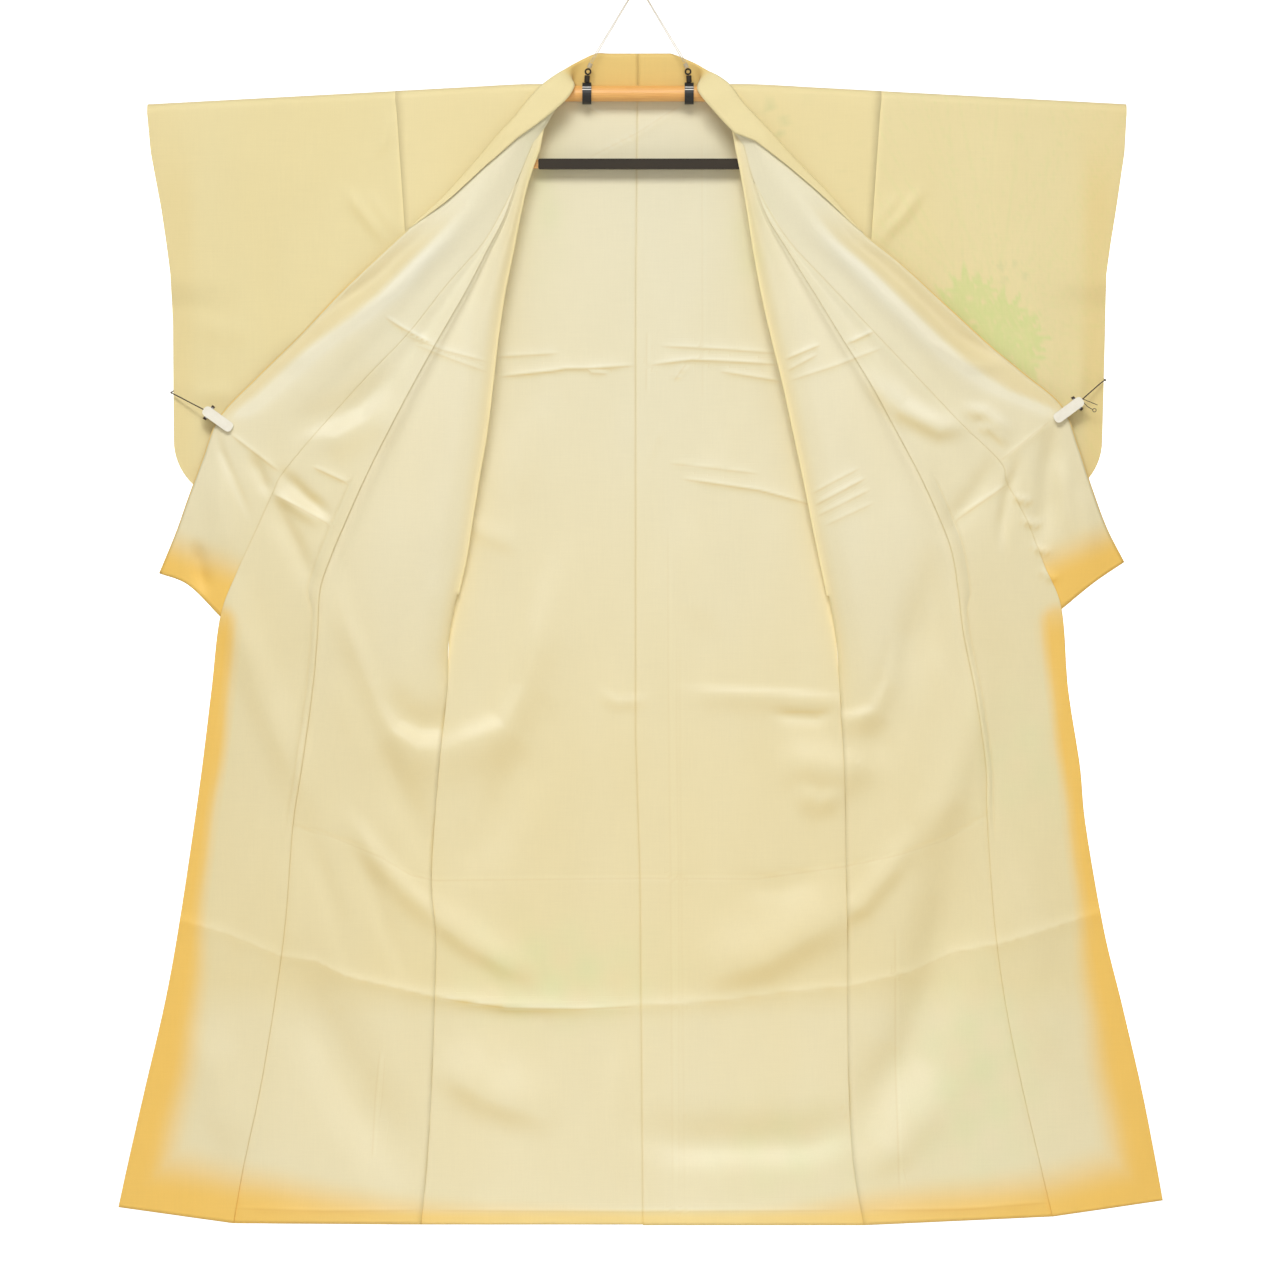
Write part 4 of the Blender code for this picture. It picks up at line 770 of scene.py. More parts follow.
def side_edge(side, drop):
    """Distance of the side seam, which follows the smoothed front below the under layer."""
    if side not in SIDE_LINES:
        rows, _, counts = smooth_front(side)
        seam = rows[sum(counts[:FIRST_SIDE_SEAM_ROW]) + 1:, 0]
        drops = [row[0] for row in SIDE_EDGE] + list(seam[:, 1])
        edges = [row[SIDE_COLUMN[side]] for row in SIDE_EDGE] + list(np.abs(seam[:, 0]))
        SIDE_LINES[side] = (drops, edges)
    return np.interp(drop, *SIDE_LINES[side])


def front_knots(side):
    """Eight knots in each row: fold, swell, trough, ridge, middle, seam, crest, edge."""
    rows = []
    for places, depths in zip(FRONTS[side], FRONT_DEPTHS):
        fold, okumi, seam = np.array(places[:3], float)
        edge = np.array(places[-1], float)
        knots = (fold, fold + 0.3 * (okumi - fold), fold + 0.78 * (okumi - fold), okumi,
                 (okumi + seam) / 2, seam, seam + 0.52 * (edge - seam), edge)
        rows.append([(p[0] * SIDES[side], p[1], depth) for p, depth in zip(knots, depths)])
    rows = np.array(rows)
    rows[COLLAR_END_ROW, 6, 1] -= TIP_CURVE[side]
    return rows


def smooth_front(side):
    """Knot rows refined down the front, and the collar's own part of them."""
    knots = front_knots(side)
    counts = steps_for(knots[:, :6], CELL)
    finer = steps_for(knots[:, :6], FINE_CELL)
    counts = [finer[k] if k in FINE_ROWS else count for k, count in enumerate(counts)]
    rows = spline(knots, counts)
    last = sum(counts[:COLLAR_END_ROW])
    collar = spline(knots[:COLLAR_END_ROW + 1, 5:], counts[:COLLAR_END_ROW])
    collar[:, 0] = rows[:last + 1, 5]
    return rows, collar, counts


def under_layer(side, counts):
    """The front's under layer, from the shoulder down, in four columns."""
    shares = np.array(UNDER_SHARES)

    def columns(drop, inner):
        outer = side_edge(side, drop)
        return outer + (inner - outer) * shares

    above = [row_over_rod(side, columns(-12, NECK_HALF), angle, -FRONT_DEPTH) for angle in ROD_ANGLES]
    above += [hanging_row(side, columns(drop, inner), drop, -FRONT_DEPTH) for drop, inner in NECK_EDGE]
    above = np.array(above)
    below = []
    for k, depth in enumerate(UNDER_DEPTHS):
        fold, drop = FRONTS[side][k][0]
        # Lower down, its outer edge is sewn to the back
        sewn = min(max((k - 6) / 5.0, 0.0), 1.0)
        edge_depth = depth + (BACK_DEPTH - 3.7 - depth) * sewn
        depths = edge_depth + (depth - edge_depth) * shares
        below.append(hanging_row(side, columns(drop, fold), drop, depths))
    below = spline(np.array(below), counts[:len(below) - 1])
    joined = spline(np.array([above[-1], below[0]]), (4,))[:-1]
    above = np.concatenate([above[:-2], spline(above[-2:], (4,))[:-1]])
    return np.concatenate([above, joined]), below


def band_width(drop):
    """Width of the folded strip of lining beside the seam of front and okumi."""
    return 8.0 + 8.0 * (1 - smooth(drop, 668, 700))


def band_pressed(drop):
    """Where the strip of lining shows, from 0 to 1."""
    return smooth(drop, 508, 530) * (1 - smooth(drop, 940, 1020))


def banded(okumi):
    """The okumi's rows resampled with columns for the strip's edge and for both seams."""
    rows = []
    for row, along in zip(okumi, along_rows(okumi)):
        total = along[-1]
        edge = min(band_width(row[0, 1]), 0.38 * total)
        half = min(1.7, 0.12 * total)
        near = [0.0, min(0.9, 0.05 * total), min(2.5, 0.12 * total), edge - half, edge]
        far = np.linspace(edge + half, total - min(2.5, 0.1 * total), 16)
        places = np.concatenate([near, far, [total - min(0.9, 0.04 * total), total]])
        rows.append(points_at(places, along, row))
    return np.array(rows)


def press_band(grid):
    """Raises the strip a little and sinks the line along its edge."""
    grid = grid.copy()
    strength = band_pressed(grid[:, 4, 1])
    grid[:, 1:4, 2] -= 0.7 * strength[:, None]
    grid[:, 4, 2] += 1.3 * strength
    return grid


def ridge_place(side, drop):
    return np.interp(drop, *zip(*RIDGE_PATHS[side]))


def collar_waves(face, side):
    """Valley and ridge that run down the opened collar."""
    share = across_share(face)
    drop = face[:, :1, 1]
    shift = ridge_place(side, drop) - 0.5
    height = np.zeros(share.shape)
    for place, width, rise, start, end, shifts in COLLAR_WAVES:
        fade = smooth(drop, 140, 250) * (1 - smooth(drop, start, end))
        away = share - place - (shift if shifts else 0.0)
        height += rise * fade * bell(away, width)
    face = face.copy()
    face[..., 2] -= height * smooth(share, 0.0, 0.06)
    return face


def front_surfaces(side):
    """Grids and normals of the front, the okumi and the collar of one side."""
    rows, collar_rows, counts = smooth_front(side)
    opened = closer_borders(across(rows[:, :4], FRONT_STEPS), (False, True))
    okumi = banded(across(rows[:, 3:6], OKUMI_STEPS))
    face = closer_borders(across(collar_rows, COLLAR_STEPS), (True, False))
    face = collar_waves(face, side)
    full = np.concatenate([face, np.repeat(okumi[len(face):, -1:], face.shape[1], 1)])
    joined = np.concatenate([opened, okumi[:, 1:], full[:, 1:]], axis=1)
    first = opened.shape[1] - 1
    second = first + okumi.shape[1] - 1
    keep = all_cells(joined)
    keep[len(face) - 1:, second:] = False
    normals = grid_normals(joined, keep, SIDES[side])
    surfaces = {
        "opened": (opened, normals[:, :first + 1]),
        "okumi": (okumi, normals[:, first:second + 1]),
        "face": (face, normals[:len(face), second:]),
    }
    return surfaces, counts


def front_panel(side, surfaces, counts):
    """The body front: shoulder, under layer, turned fold and opened layer in one sheet."""
    opened, opened_normals = surfaces["opened"]
    above, below = (across(rows, UNDER_STEPS) for rows in under_layer(side, counts))
    n_under = below.shape[1]
    fold_rows = len(below)
    turn = (below[:, -1] + opened[:fold_rows, 0]) / 2
    turn = turn - np.array([SIDES[side] * FOLD_SPACING * 0.45, 0, 0])
    bend = spline(np.stack([below[:, -1], turn, opened[:fold_rows, 0]]), TURN_STEPS)
    bend = np.swapaxes(bend, 0, 1)[:, 1:-1]
    start = n_under + bend.shape[1]
    middle = np.concatenate([below, bend, opened[:fold_rows]], axis=1)
    share = np.clip((above[:, -1, 1] - LAPEL_HEAD) / (below[0, -1, 1] - LAPEL_HEAD), 0.0, 1.0)
    head = above[:, -1:] + (middle[:1, n_under:] - middle[:1, n_under - 1:n_under]) * share[:, None, None]
    top = np.concatenate([above, head], axis=1)
    rest = opened[fold_rows:]
    bottom = np.concatenate([np.repeat(rest[:, :1], start, 1), rest], axis=1)
    grid = np.concatenate([top, middle, bottom])
    keep = ~all_cells(grid)
    keep[:len(top), :n_under - 1] = True
    keep[int(np.argmax(share > 0)) - 1:len(top)] = True
    keep[len(top):len(top) + fold_rows - 1, :] = True
    keep[len(top):, start:] = True
    normals = grid_normals(grid, keep, SIDES[side])
    normals[len(top):, start:] = opened_normals
    return grid, keep, normals, start


def unit(vector):
    return vector / np.linalg.norm(vector)


def neck_knots(side):
    """Six knots in each section round the neck: seam, middle, crease, near, half, free."""
    sections = []
    for knots in NECKS[side]:
        seam, middle, crease, free = np.array(knots, float) * (SIDES[side], 1, 1)
        run = unit(crease - middle)
        turn = free - crease
        fold = unit(turn - run * np.dot(turn, run)) + np.array((0.0, 0.0, -2.0))
        near = crease + unit(fold) * FOLD_CLEARANCE
        half = (near + free) / 2
        if half[2] < 0.0:
            half[2] = min(half[2], middle[2] - FLAP_CLEARANCE)
        sections.append((seam, middle, crease, near, half, free))
    return np.array(sections)


def folded_knots(face, row_starts):
    """The part of the collar that stays folded over below the neck: near, half, free."""
    widths = np.interp(np.arange(len(face)), row_starts[:len(FOLDED_WIDTHS)], FOLDED_WIDTHS)
    inwards = face[:, ::-1]
    flap = []
    for row, along, width in zip(inwards, along_rows(inwards), widths):
        lift = min(1.0, width / 8.0)
        near = row[0] + np.array((0.0, 0.0, -FOLD_CLEARANCE * lift))
        clear = np.array((0.0, 0.0, -FLAP_CLEARANCE * lift))
        half, free = points_at(np.array((width * 0.5, width)), along, row)
        flap.append((near, half + clear, free + clear))
    return np.array(flap)


def collar_sheet(side, surfaces, counts):
    """The collar from the centre back round the neck and down to its tip."""
    face, face_normals = surfaces["face"]
    columns = face.shape[1]
    neck = neck_knots(side)
    neck = spline(neck, steps_for(neck[:, 2], CELL))
    outer = closer_borders(across(neck[:, :3], COLLAR_STEPS), (True, False))
    flap = across(neck[:, 2:], FLAP_STEPS)
    top = np.concatenate([outer, flap[:, 1:]], axis=1)
    row_starts = np.concatenate([[0], np.cumsum(counts)])
    folded_rows = row_starts[len(FOLDED_WIDTHS) - 1] + 1
    folded = folded_knots(face[:folded_rows], row_starts)
    flap = across(np.concatenate([face[:folded_rows, -1:], folded], axis=1), FLAP_STEPS)
    middle = np.concatenate([face[:folded_rows], flap[:, 1:]], axis=1)
    rest = face[folded_rows:]
    bottom = np.concatenate([rest, np.repeat(rest[:, -1:], middle.shape[1] - columns, 1)], axis=1)
    gap = spline(np.array([top[-1], middle[0]]), (5,))[1:-1]
    grid = np.concatenate([top, gap, middle, bottom])
    first_row = len(top) + len(gap)
    keep = all_cells(grid)
    keep[first_row + folded_rows - 1:, columns - 1:] = False
    normals = grid_normals(grid, keep, SIDES[side])
    normals[first_row:, 0] = face_normals[:, 0]
    return grid, keep, normals, columns


def back_levels(bottom):
    """Drops of the back's rows, closer together where it has fine creases."""
    levels = [BACK_NECK_DROP]
    while levels[-1] < bottom:
        fine = any(start < levels[-1] < end for start, end in FINE_BACK)
        levels.append(levels[-1] + (FINE_BACK_CELL if fine else BACK_CELL))
    return levels[:-1] + [bottom]


def back_sheet(side):
    """The body back from the top of the shoulder to the hem, centre seam to side."""
    inside, outside = BACK_COLUMNS
    shares_in = np.linspace(0, 1, inside)
    shares_out = np.linspace(0, 1, outside + 1)[1:]

    def columns(drop, centre):
        outer = side_edge(side, drop)
        return np.concatenate([centre + (NECK_HALF - centre) * shares_in,
                               NECK_HALF + (outer - NECK_HALF) * shares_out])

    rows = [row_over_rod(side, columns(-12, NECK_HALF), angle, BACK_DEPTH) for angle in ROD_ANGLES]
    for drop in back_levels(FRONTS[side][-1][0][1]):
        x = columns(drop, SIDES[side] * look_up(CENTRE_SEAM, drop))
        rows.append(hanging_row(side, x, drop, BACK_DEPTH))
    grid = np.array(rows)
    keep = all_cells(grid)
    keep[:len(ROD_ANGLES), :inside - 1] = False
    keep = np.concatenate([keep[:, :1]] * 2 + [keep] + [keep[:, -1:]] * 2, axis=1)
    grid = closer_borders(grid)
    return grid, keep, grid_normals(grid, keep, SIDES[side])


def sleeve_half(side, facing, shares):
    """Rows of one leaf of a sleeve from the top of the rod to the bottom."""
    reach = FRONT_DEPTH if facing < 0 else BACK_DEPTH
    rows = [row_over_rod(side, sleeve_columns(side, -12, shares, facing), angle, facing * reach)
            for angle in ROD_ANGLES[:-1]]
    levels = list(np.linspace(0, SLEEVE_BOTTOM - SLEEVE_CORNER, SLEEVE_ROWS))
    levels += [SLEEVE_BOTTOM - SLEEVE_CORNER * (1 - math.sin(math.radians(a)))
               for a in np.linspace(6, 90, 16)]
    for level in levels:
        x = sleeve_columns(side, level, shares, facing)
        rows.append(hanging_row(side, x, level, leaf_depth(level, shares, facing, reach)))
    return np.array(rows)


def sleeve_columns(side, level, shares, facing):
    column = SIDE_COLUMN[side]
    inner = look_up(SIDE_EDGE, min(level, 330), column)
    outer = look_up(CUFF_EDGE, level, column)
    above = SLEEVE_BOTTOM - level
    if above < SLEEVE_CORNER:
        outer -= SLEEVE_CORNER - math.sqrt(max(0.0, SLEEVE_CORNER ** 2 - (SLEEVE_CORNER - above) ** 2))
    if facing > 0:
        outer -= BACK_LEAF_NARROWER * (1 - float(smooth(level, 60, 110)))
    return inner + (outer - inner) * shares


def leaf_depth(level, shares, facing, reach):
    """Leaves hang a little apart, and close at the bottom and below the wrist."""
    bottom = min(1.0, max(0.0, SLEEVE_BOTTOM - level) / 35.0) ** 0.6
    cuff = np.ones(len(shares))
    if level > WRIST_OPENING:
        cuff = np.minimum(1.0, (1.0 - shares) / 0.3)
        cuff = 1 + (cuff - 1) * smooth(level, WRIST_OPENING, WRIST_OPENING + 40)
    opened = np.minimum(bottom, cuff)
    fallen = np.maximum(0.0, level - ARMHOLE_DROP * (1.0 - shares))
    hang = reach * (1 - 0.55 * fallen / SLEEVE_BOTTOM)
    return facing * (LEAF_GAP + (hang - LEAF_GAP) * opened)


def sleeve_sheet(side):
    """A whole sleeve: up the front leaf, over the rod and down the back leaf."""
    shares = np.linspace(0, 1, SLEEVE_COLUMNS)
    front = sleeve_half(side, -1, shares)
    back = sleeve_half(side, 1, shares)
    grid = closer_borders(np.concatenate([front[::-1], back[1:]]))
    keep = all_cells(grid)
    return grid, keep, grid_normals(grid, keep, -SIDES[side])


def rolled(grid, normals, index, depth=SEAM_ROLL, width=SEAM_ROLL_WIDTH):
    """Rolls the first (0) or last (-1) columns of cloth away from the viewer into the seam."""
    grid = grid.copy()
    base = grid[:, index].copy()
    for step in range(ROLLED_COLUMNS):
        i = step if index == 0 else -1 - step
        distance = np.linalg.norm(grid[:, i] - base, axis=-1)
        grid[:, i] += normals[:, i] * (depth * bell(distance, width))[:, None]
    return grid


def link(name, data):
    obj = bpy.data.objects.new(name, data)
    bpy.context.scene.collection.objects.link(obj)
    return obj


def new_piece(name, data):
    """A piece of the part in the scene, attached to the root body."""
    obj = link(name, data)
    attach(obj, "root")
    return obj


def shell(name, grid, normals, keep, skins, finish, attributes):
    """A closed thin shell between two offsets of a grid, where keep is true."""
    rows, cols = grid.shape[:2]
    used = np.zeros((rows, cols), bool)
    used[:-1, :-1] |= keep
    used[1:, :-1] |= keep
    used[:-1, 1:] |= keep
    used[1:, 1:] |= keep
    index = np.full((rows, cols), -1)
    index[used] = np.arange(used.sum())
    count = int(used.sum())
    points = np.concatenate([world(grid + normals * skin)[used] for skin in skins])
    cells = np.argwhere(keep)
    i, j = cells[:, 0], cells[:, 1]
    ring = np.stack([index[i, j], index[i, j + 1], index[i + 1, j + 1], index[i + 1, j]], -1)
    edges = np.concatenate([ring[:, [0, 1]], ring[:, [1, 2]], ring[:, [2, 3]], ring[:, [3, 0]]])
    keys = edges[:, 0] * count + edges[:, 1]
    back = edges[:, 1] * count + edges[:, 0]
    border = edges[~np.isin(keys, back)]
    rim = np.stack([border[:, 1], border[:, 0], border[:, 0] + count, border[:, 1] + count], -1)
    faces = np.concatenate([ring, ring[:, ::-1] + count, rim])
    mesh = bpy.data.meshes.new(name)
    mesh.from_pydata(points.tolist(), [], faces.tolist())
    mesh.validate()
    mesh.shade_smooth()
    for key, values in attributes.items():
        flat = np.tile(np.broadcast_to(values, (rows, cols))[used], 2).astype(np.float32)
        layer = mesh.attributes.new(key, "FLOAT", "POINT")
        layer.data.foreach_set("value", flat)
    mesh.materials.append(finish)
    face_outwards(mesh)
    return new_piece(name, mesh)


def face_outwards(mesh):
    """Turns the faces round if the shell's volume is negative."""
    bm = bmesh.new()
    bm.from_mesh(mesh)
    if bm.calc_volume(signed=True) < 0:
        bmesh.ops.reverse_faces(bm, faces=bm.faces[:])
        bm.to_mesh(mesh)
    bm.free()


def inset(grid, keep, amount):
    """Moves the last kept column of each row inwards by an amount."""
    grid = grid.copy()
    for i in range(grid.shape[0]):
        cells = keep[min(i, keep.shape[0] - 1)] | keep[max(i - 1, 0)]
        last = int(np.flatnonzero(cells)[-1]) + 1
        inwards = grid[i, last - 1] - grid[i, last]
        length = np.linalg.norm(inwards)
        if length > 1e-6:
            grid[i, last:] = grid[i, last] + inwards / length * min(amount, 0.7 * length)
    return grid


def shaped(grid, layer):
    """The grid with its creases: moved towards the viewer by the layer's relief."""
    grid = grid.copy()
    grid[..., 2] -= relief(grid[..., :2], layer)
    return grid


def slope_tints(grid, layer):
    """Painted shade where the relief faces down and painted highlight where it faces up, at each point.
    """
    points = grid[..., :2]
    step = np.array((0.0, SLOPE_STEP))
    rise = (relief(points + step, layer) - relief(points - step, layer)) / (2 * SLOPE_STEP)
    shade = np.clip(-SHADE_PER_SLOPE * rise - 0.03, 0, MOST_SHADE)
    painted_highlight = np.clip(LIGHT_PER_SLOPE * rise - 0.05, 0, 1.0)
    if layer == "sleeve":
        return SLEEVE_TINT_SHARES[0] * shade, SLEEVE_TINT_SHARES[1] * painted_highlight
    return shade, painted_highlight


# Shading and tints, each worked out at (x, drop) points
def lapel_shade(side, points):
    """Painted shade on the back beside the front's turned fold, and a painted glow there for light that
    comes through.
    """
    rows = FRONTS[side][:FIRST_SIDE_SEAM_ROW + 1]
    fold = np.interp(points[..., 1], [row[0][1] for row in rows], [row[0][0] for row in rows])
    inside = np.abs(fold - np.abs(points[..., 0]))
    fade = 1 - smooth(points[..., 1], 690, 830)
    near, far, light = (strength * fade * np.exp(-inside / reach)
                        for strength, reach in (*LAPEL_SHADES, LAPEL_LIGHT))
    return near + far, light


def body_gold(points):
    """Gold shading of the lining along the okumi edges and the hem."""
    x, drop = points[..., 0], points[..., 1]
    gold = np.zeros(x.shape)
    wide = smooth(drop, 960, 1430)
    uneven = 2.2 * np.sin(drop / 61.0) + 1.4 * np.sin(drop / 23.0 + 1.0)
    full = blend(GOLD_FULL, wide) + uneven
    gone = blend(GOLD_GONE, wide) + uneven
    for side, sign in SIDES.items():
        edge = [(sign * row[-1][0], row[-1][1]) for row in FRONTS[side][COLLAR_END_ROW + 1:]]
        distance, _ = line_distance(points, [(sign * 562, 705)] + edge)
        gold = np.maximum(gold, (1 - smooth(np.abs(distance), full, gone)) * smooth(drop, 640, 730))
    away = np.abs(x)
    hem = look_up(HEM_EDGE, away) - drop
    reach = look_up(HEM_REACH, away)
    band = 1 - smooth(hem + 4 * np.sin(x / 70.0), 0.2 * reach, reach)
    return np.maximum(gold, band * look_up(HEM_STRENGTH, away))


def collar_gold(side, points):
    """Gold shading of the collar's last stretch."""
    start, end = (np.array(FRONTS[side][row][2:], float).mean(axis=0) * (SIDES[side], 1)
                  for row in (COLLAR_END_ROW - 3, COLLAR_END_ROW))
    before = (end - points) @ unit(end - start)
    return 1 - smooth(before, 26, 84)


def hem_band(points):
    return (1 - smooth(HEM_DROP - points[..., 1], 12, 24)) * 0.75


def lining_fall(points):
    """0 where the lining is palest, near the neck, to 1 where it is warmest."""
    drop = points[..., 1]
    drop = drop + 150 * smooth(np.abs(points[..., 0]), 330, 400) * (1 - smooth(drop, 700, 900))
    return look_up(LINING_FALL, drop)


def haze(points):
    """Faint green where the outer cloth's leaves show through."""
    total = np.zeros(points.shape[:-1])
    x, drop = points[..., 0], points[..., 1]
    lumps = 0.6 + 0.4 * np.sin(x / 13.0 + drop / 41.0) * np.sin(drop / 15.0 - x / 35.0)
    for (cx, cd), half, tall, strength in HAZES:
        away = ((x - cx) / half) ** 2 + ((drop - cd) / tall) ** 2
        total += strength * lumps * np.exp(-away)
    return np.clip(total, 0, 1)


def leaf_mask(points, leaves):
    """Soft-edged leaves of pointed lobes that fan out from each leaf's stalk."""
    total = np.zeros(points.shape[:-1])
    for (cx, cd), length, heading, lobes in leaves:
        dx = points[..., 0] - cx
        dz = cd - points[..., 1]
        mask = np.zeros(total.shape)
        for lobe in range(lobes):
            turn = lobe - (lobes - 1) / 2
            angle = math.radians(heading + turn * 38)
            reach = length * (1 - 0.14 * abs(turn))
            along = (dx * math.cos(angle) + dz * math.sin(angle)) / reach
            side = np.abs(-dx * math.sin(angle) + dz * math.cos(angle)) / reach
            width = 0.25 * np.clip(1 - along, 0, 1) ** 0.8 * np.clip(along + 0.12, 0, 1) ** 0.4
            vein = 1 - 0.35 * np.exp(-(side * reach / 1.3) ** 2)
            tone = (0.66 + 0.34 * np.clip(along, 0, 1)) * vein
            mask = np.maximum(mask, tone * smooth(width - side, -0.04, 0.07))
        total = np.maximum(total, mask)
    return total


# Materials
def linear(colour):
    """An sRGB colour from 0 to 255 as linear red, green, blue and alpha."""
    return (*(((c / 255 + 0.055) / 1.055) ** 2.4 if c > 10 else c / 255 / 12.92 for c in colour), 1.0)


class Graph:
    """Short-hand for building a material's nodes."""

    def __init__(self, name, **principled):
        self.material = bpy.data.materials.new(name)
        self.material.use_nodes = True
        self.tree = self.material.node_tree
        self.shader = self.tree.nodes["Principled BSDF"]
        for key, value in principled.items():
            self.shader.inputs[key.replace("_", " ")].default_value = value

    def add(self, kind, sockets=None, **settings):
        node = self.tree.nodes.new("ShaderNode" + kind)
        for key, value in settings.items():
            setattr(node, key, value)
        for key, value in (sockets or {}).items():
            if isinstance(value, bpy.types.NodeSocket):
                self.tree.links.new(value, node.inputs[key])
            else:
                node.inputs[key].default_value = value
        return node

    def math(self, operation, a, b=0.0):
        node = self.add("Math", {0: a, 1: b}, operation=operation)
        return node.outputs[0]

    def attribute(self, name):
        return self.add("Attribute", attribute_name=name).outputs["Fac"]

    def mix(self, factor, a, b, blend="MIX"):
        node = self.add("Mix", {0: factor, 6: a, 7: b}, data_type="RGBA", blend_type=blend)
        return node.outputs[2]

    def multiply(self, factor, colour, tone):
        """The colour, multiplied by a tone as far as the factor says."""
        return self.mix(factor, colour, self.mix(1.0, colour, tone, "MULTIPLY"))

    def two_tone(self, factor, first, second):
        return self.mix(factor, linear(first), linear(second))

    def ramp(self, value, start, end, low=0.0, high=1.0):
        return self.add("MapRange", {"Value": value, "From Min": start, "From Max": end,
                                     "To Min": low, "To Max": high}).outputs[0]

    def grey(self, value):
        return self.add("CombineColor", {"Red": value, "Green": value, "Blue": value}).outputs[0]

    def axis(self, name):
        coordinates = self.add("TexCoord").outputs["Object"]
        return self.add("SeparateXYZ", {"Vector": coordinates}).outputs[name]

    def place(self, scale=(1, 1, 1)):
        coordinates = self.add("TexCoord").outputs["Object"]
        return self.add("Mapping", {"Vector": coordinates, "Scale": scale}).outputs[0]

    def noise(self, scale, stretch=(1, 1, 1), detail=3.0, roughness=0.55):
        return self.add("TexNoise", {"Vector": self.place(stretch), "Scale": scale,
                                     "Detail": detail, "Roughness": roughness}).outputs["Fac"]

    def wave(self, scale, direction, stretch=(1, 1, 1), **sockets):
        sockets = {key.replace("_", " "): value for key, value in sockets.items()}
        sockets.update({"Vector": self.place(stretch), "Scale": scale})
        return self.add("TexWave", sockets, wave_type="BANDS",
                        bands_direction=direction).outputs["Fac"]

    def bump(self, height, strength, distance, normal=None):
        sockets = {"Height": height, "Strength": strength, "Distance": distance}
        if normal is not None:
            sockets["Normal"] = normal
        return self.add("Bump", sockets).outputs[0]

    def finish(self, colour=None, roughness=None, normal=None):
        for key, value in (("Base Color", colour), ("Roughness", roughness), ("Normal", normal)):
            if value is not None:
                self.tree.links.new(value, self.shader.inputs[key])
        return self.material


def weave_relief(g, pitch, strength):
    """Plain weave with crepe grain: two crossed sets of threads and fine uneven twist."""
    warp, weft = (g.wave(1 / pitch, direction, Distortion=bend, Detail=1.0, Detail_Scale=1.5)
                  for direction, bend in (("X", 1.2), ("Z", 1.6)))
    grain = g.noise(1 / (pitch * 1.3), (1, 1, 0.5), 2.0)
    threads = g.math("ADD", warp, weft)
    height = g.math("ADD", g.math("MULTIPLY", threads, 0.4), grain)
    fine = g.bump(height, strength, 0.00012)
    wide = g.noise(55.0, (1, 1, 0.45), 3.0)
    return g.bump(wide, 0.16, 0.0016, fine)


def threaded(g, colour):
    """The colour with the tint of uneven threads: fine slubs down and across the cloth."""
    down = g.noise(800.0, (1, 1, 0.03), 2.0)
    over = g.noise(800.0, (0.03, 1, 1), 2.0)
    patch = g.noise(7.0, (1, 1, 0.6), 2.0)
    total = g.math("ADD", g.math("ADD", down, over), patch)
    return g.mix(1.0, colour, g.grey(g.ramp(total, 1.0, 2.0, 0.978, 1.022)), "MULTIPLY")


def drift_and_painted_light(g, colour):
    """Slow random drift, painted shade and highlight on folds, painted warm shade along seams, a painted
    shade line and a painted highlight line along each pressed crease, and a painted glow for light
    through the cloth.
    """
    drift = g.noise(5.5, (1, 1, 0.35), 3.0)
    colour = g.multiply(g.ramp(drift, 0.38, 0.62, 0.0, 0.34), colour, DRIFT_TONE)
    colour = g.multiply(g.attribute("shade"), colour, SHADE_TONE)
    colour = g.multiply(g.attribute("painted_highlight"), colour, PAINTED_HIGHLIGHT_TONE)
    colour = g.multiply(g.ramp(g.attribute("seam"), 0.6, 2.8, 0.34, 0.0), colour, SEAM_PAINTED_SHADE_TONE)
    below = g.attribute("crease")
    crease_shading = g.attribute("crease_shading")
    for centre, half, strength, tone in CREASE_SHADE_AND_HIGHLIGHT_LINES:
        away = g.math("ABSOLUTE", g.math("SUBTRACT", below, centre))
        amount = g.math("MULTIPLY", g.ramp(away, 0.0, half, strength, 0.0), crease_shading)
        colour = g.multiply(amount, colour, tone)
    through = g.mix(g.attribute("through"), (0.0, 0.0, 0.0, 1), THROUGH_LIGHT)
    g.tree.links.new(through, g.shader.inputs["Emission Color"])
    g.shader.inputs["Emission Strength"].default_value = 1.0
    g.material.cycles.emission_sampling = "NONE"
    return threaded(g, colour)


def layered(g, colour, layers):
    """The colour, with a named colour mixed in by each named attribute."""
    for layer in layers:
        colour = g.mix(g.attribute(layer), colour, linear(COLOURS[layer]))
    return colour


def outer_silk():
    g = Graph("straw_crepe_silk", Roughness=0.62, Sheen_Weight=0.18, Sheen_Roughness=0.45,
              Specular_IOR_Level=0.32)
    colour = layered(g, linear(COLOURS["outer"]), ("leaf", "grey_leaf", "gold"))
    return g.finish(drift_and_painted_light(g, colour), None, weave_relief(g, 0.0011, 0.5))


def lining_silk():
    g = Graph("cream_lining_silk", Roughness=0.5, Sheen_Weight=0.12, Sheen_Roughness=0.4,
              Specular_IOR_Level=0.4)
    colour = layered(g, linear(COLOURS["lining"]), ("fall", "haze", "band", "gold"))
    return g.finish(drift_and_painted_light(g, colour), None, weave_relief(g, 0.0008, 0.35))


def wood():
    g = Graph("orange_varnished_wood", Roughness=0.34, Coat_Weight=0.35, Coat_Roughness=0.18)
    rings = g.wave(150.0, "Z", (0.05, 1, 1), Distortion=7.0, Detail=3.0, Detail_Scale=2.0)
    fibre = g.noise(900.0, (0.03, 1, 1), 3.0)
    mixed = g.math("ADD", g.math("MULTIPLY", rings, 0.45), g.math("MULTIPLY", fibre, 0.55))
    ramp = g.add("ValToRGB", {"Fac": mixed})
    for element, position, colour in zip(ramp.color_ramp.elements, (0.25, 0.8), WOOD_TONES):
        element.position = position
        element.color = linear(colour)
    return g.finish(ramp.outputs[0], None, g.bump(mixed, 0.12, 0.0002))


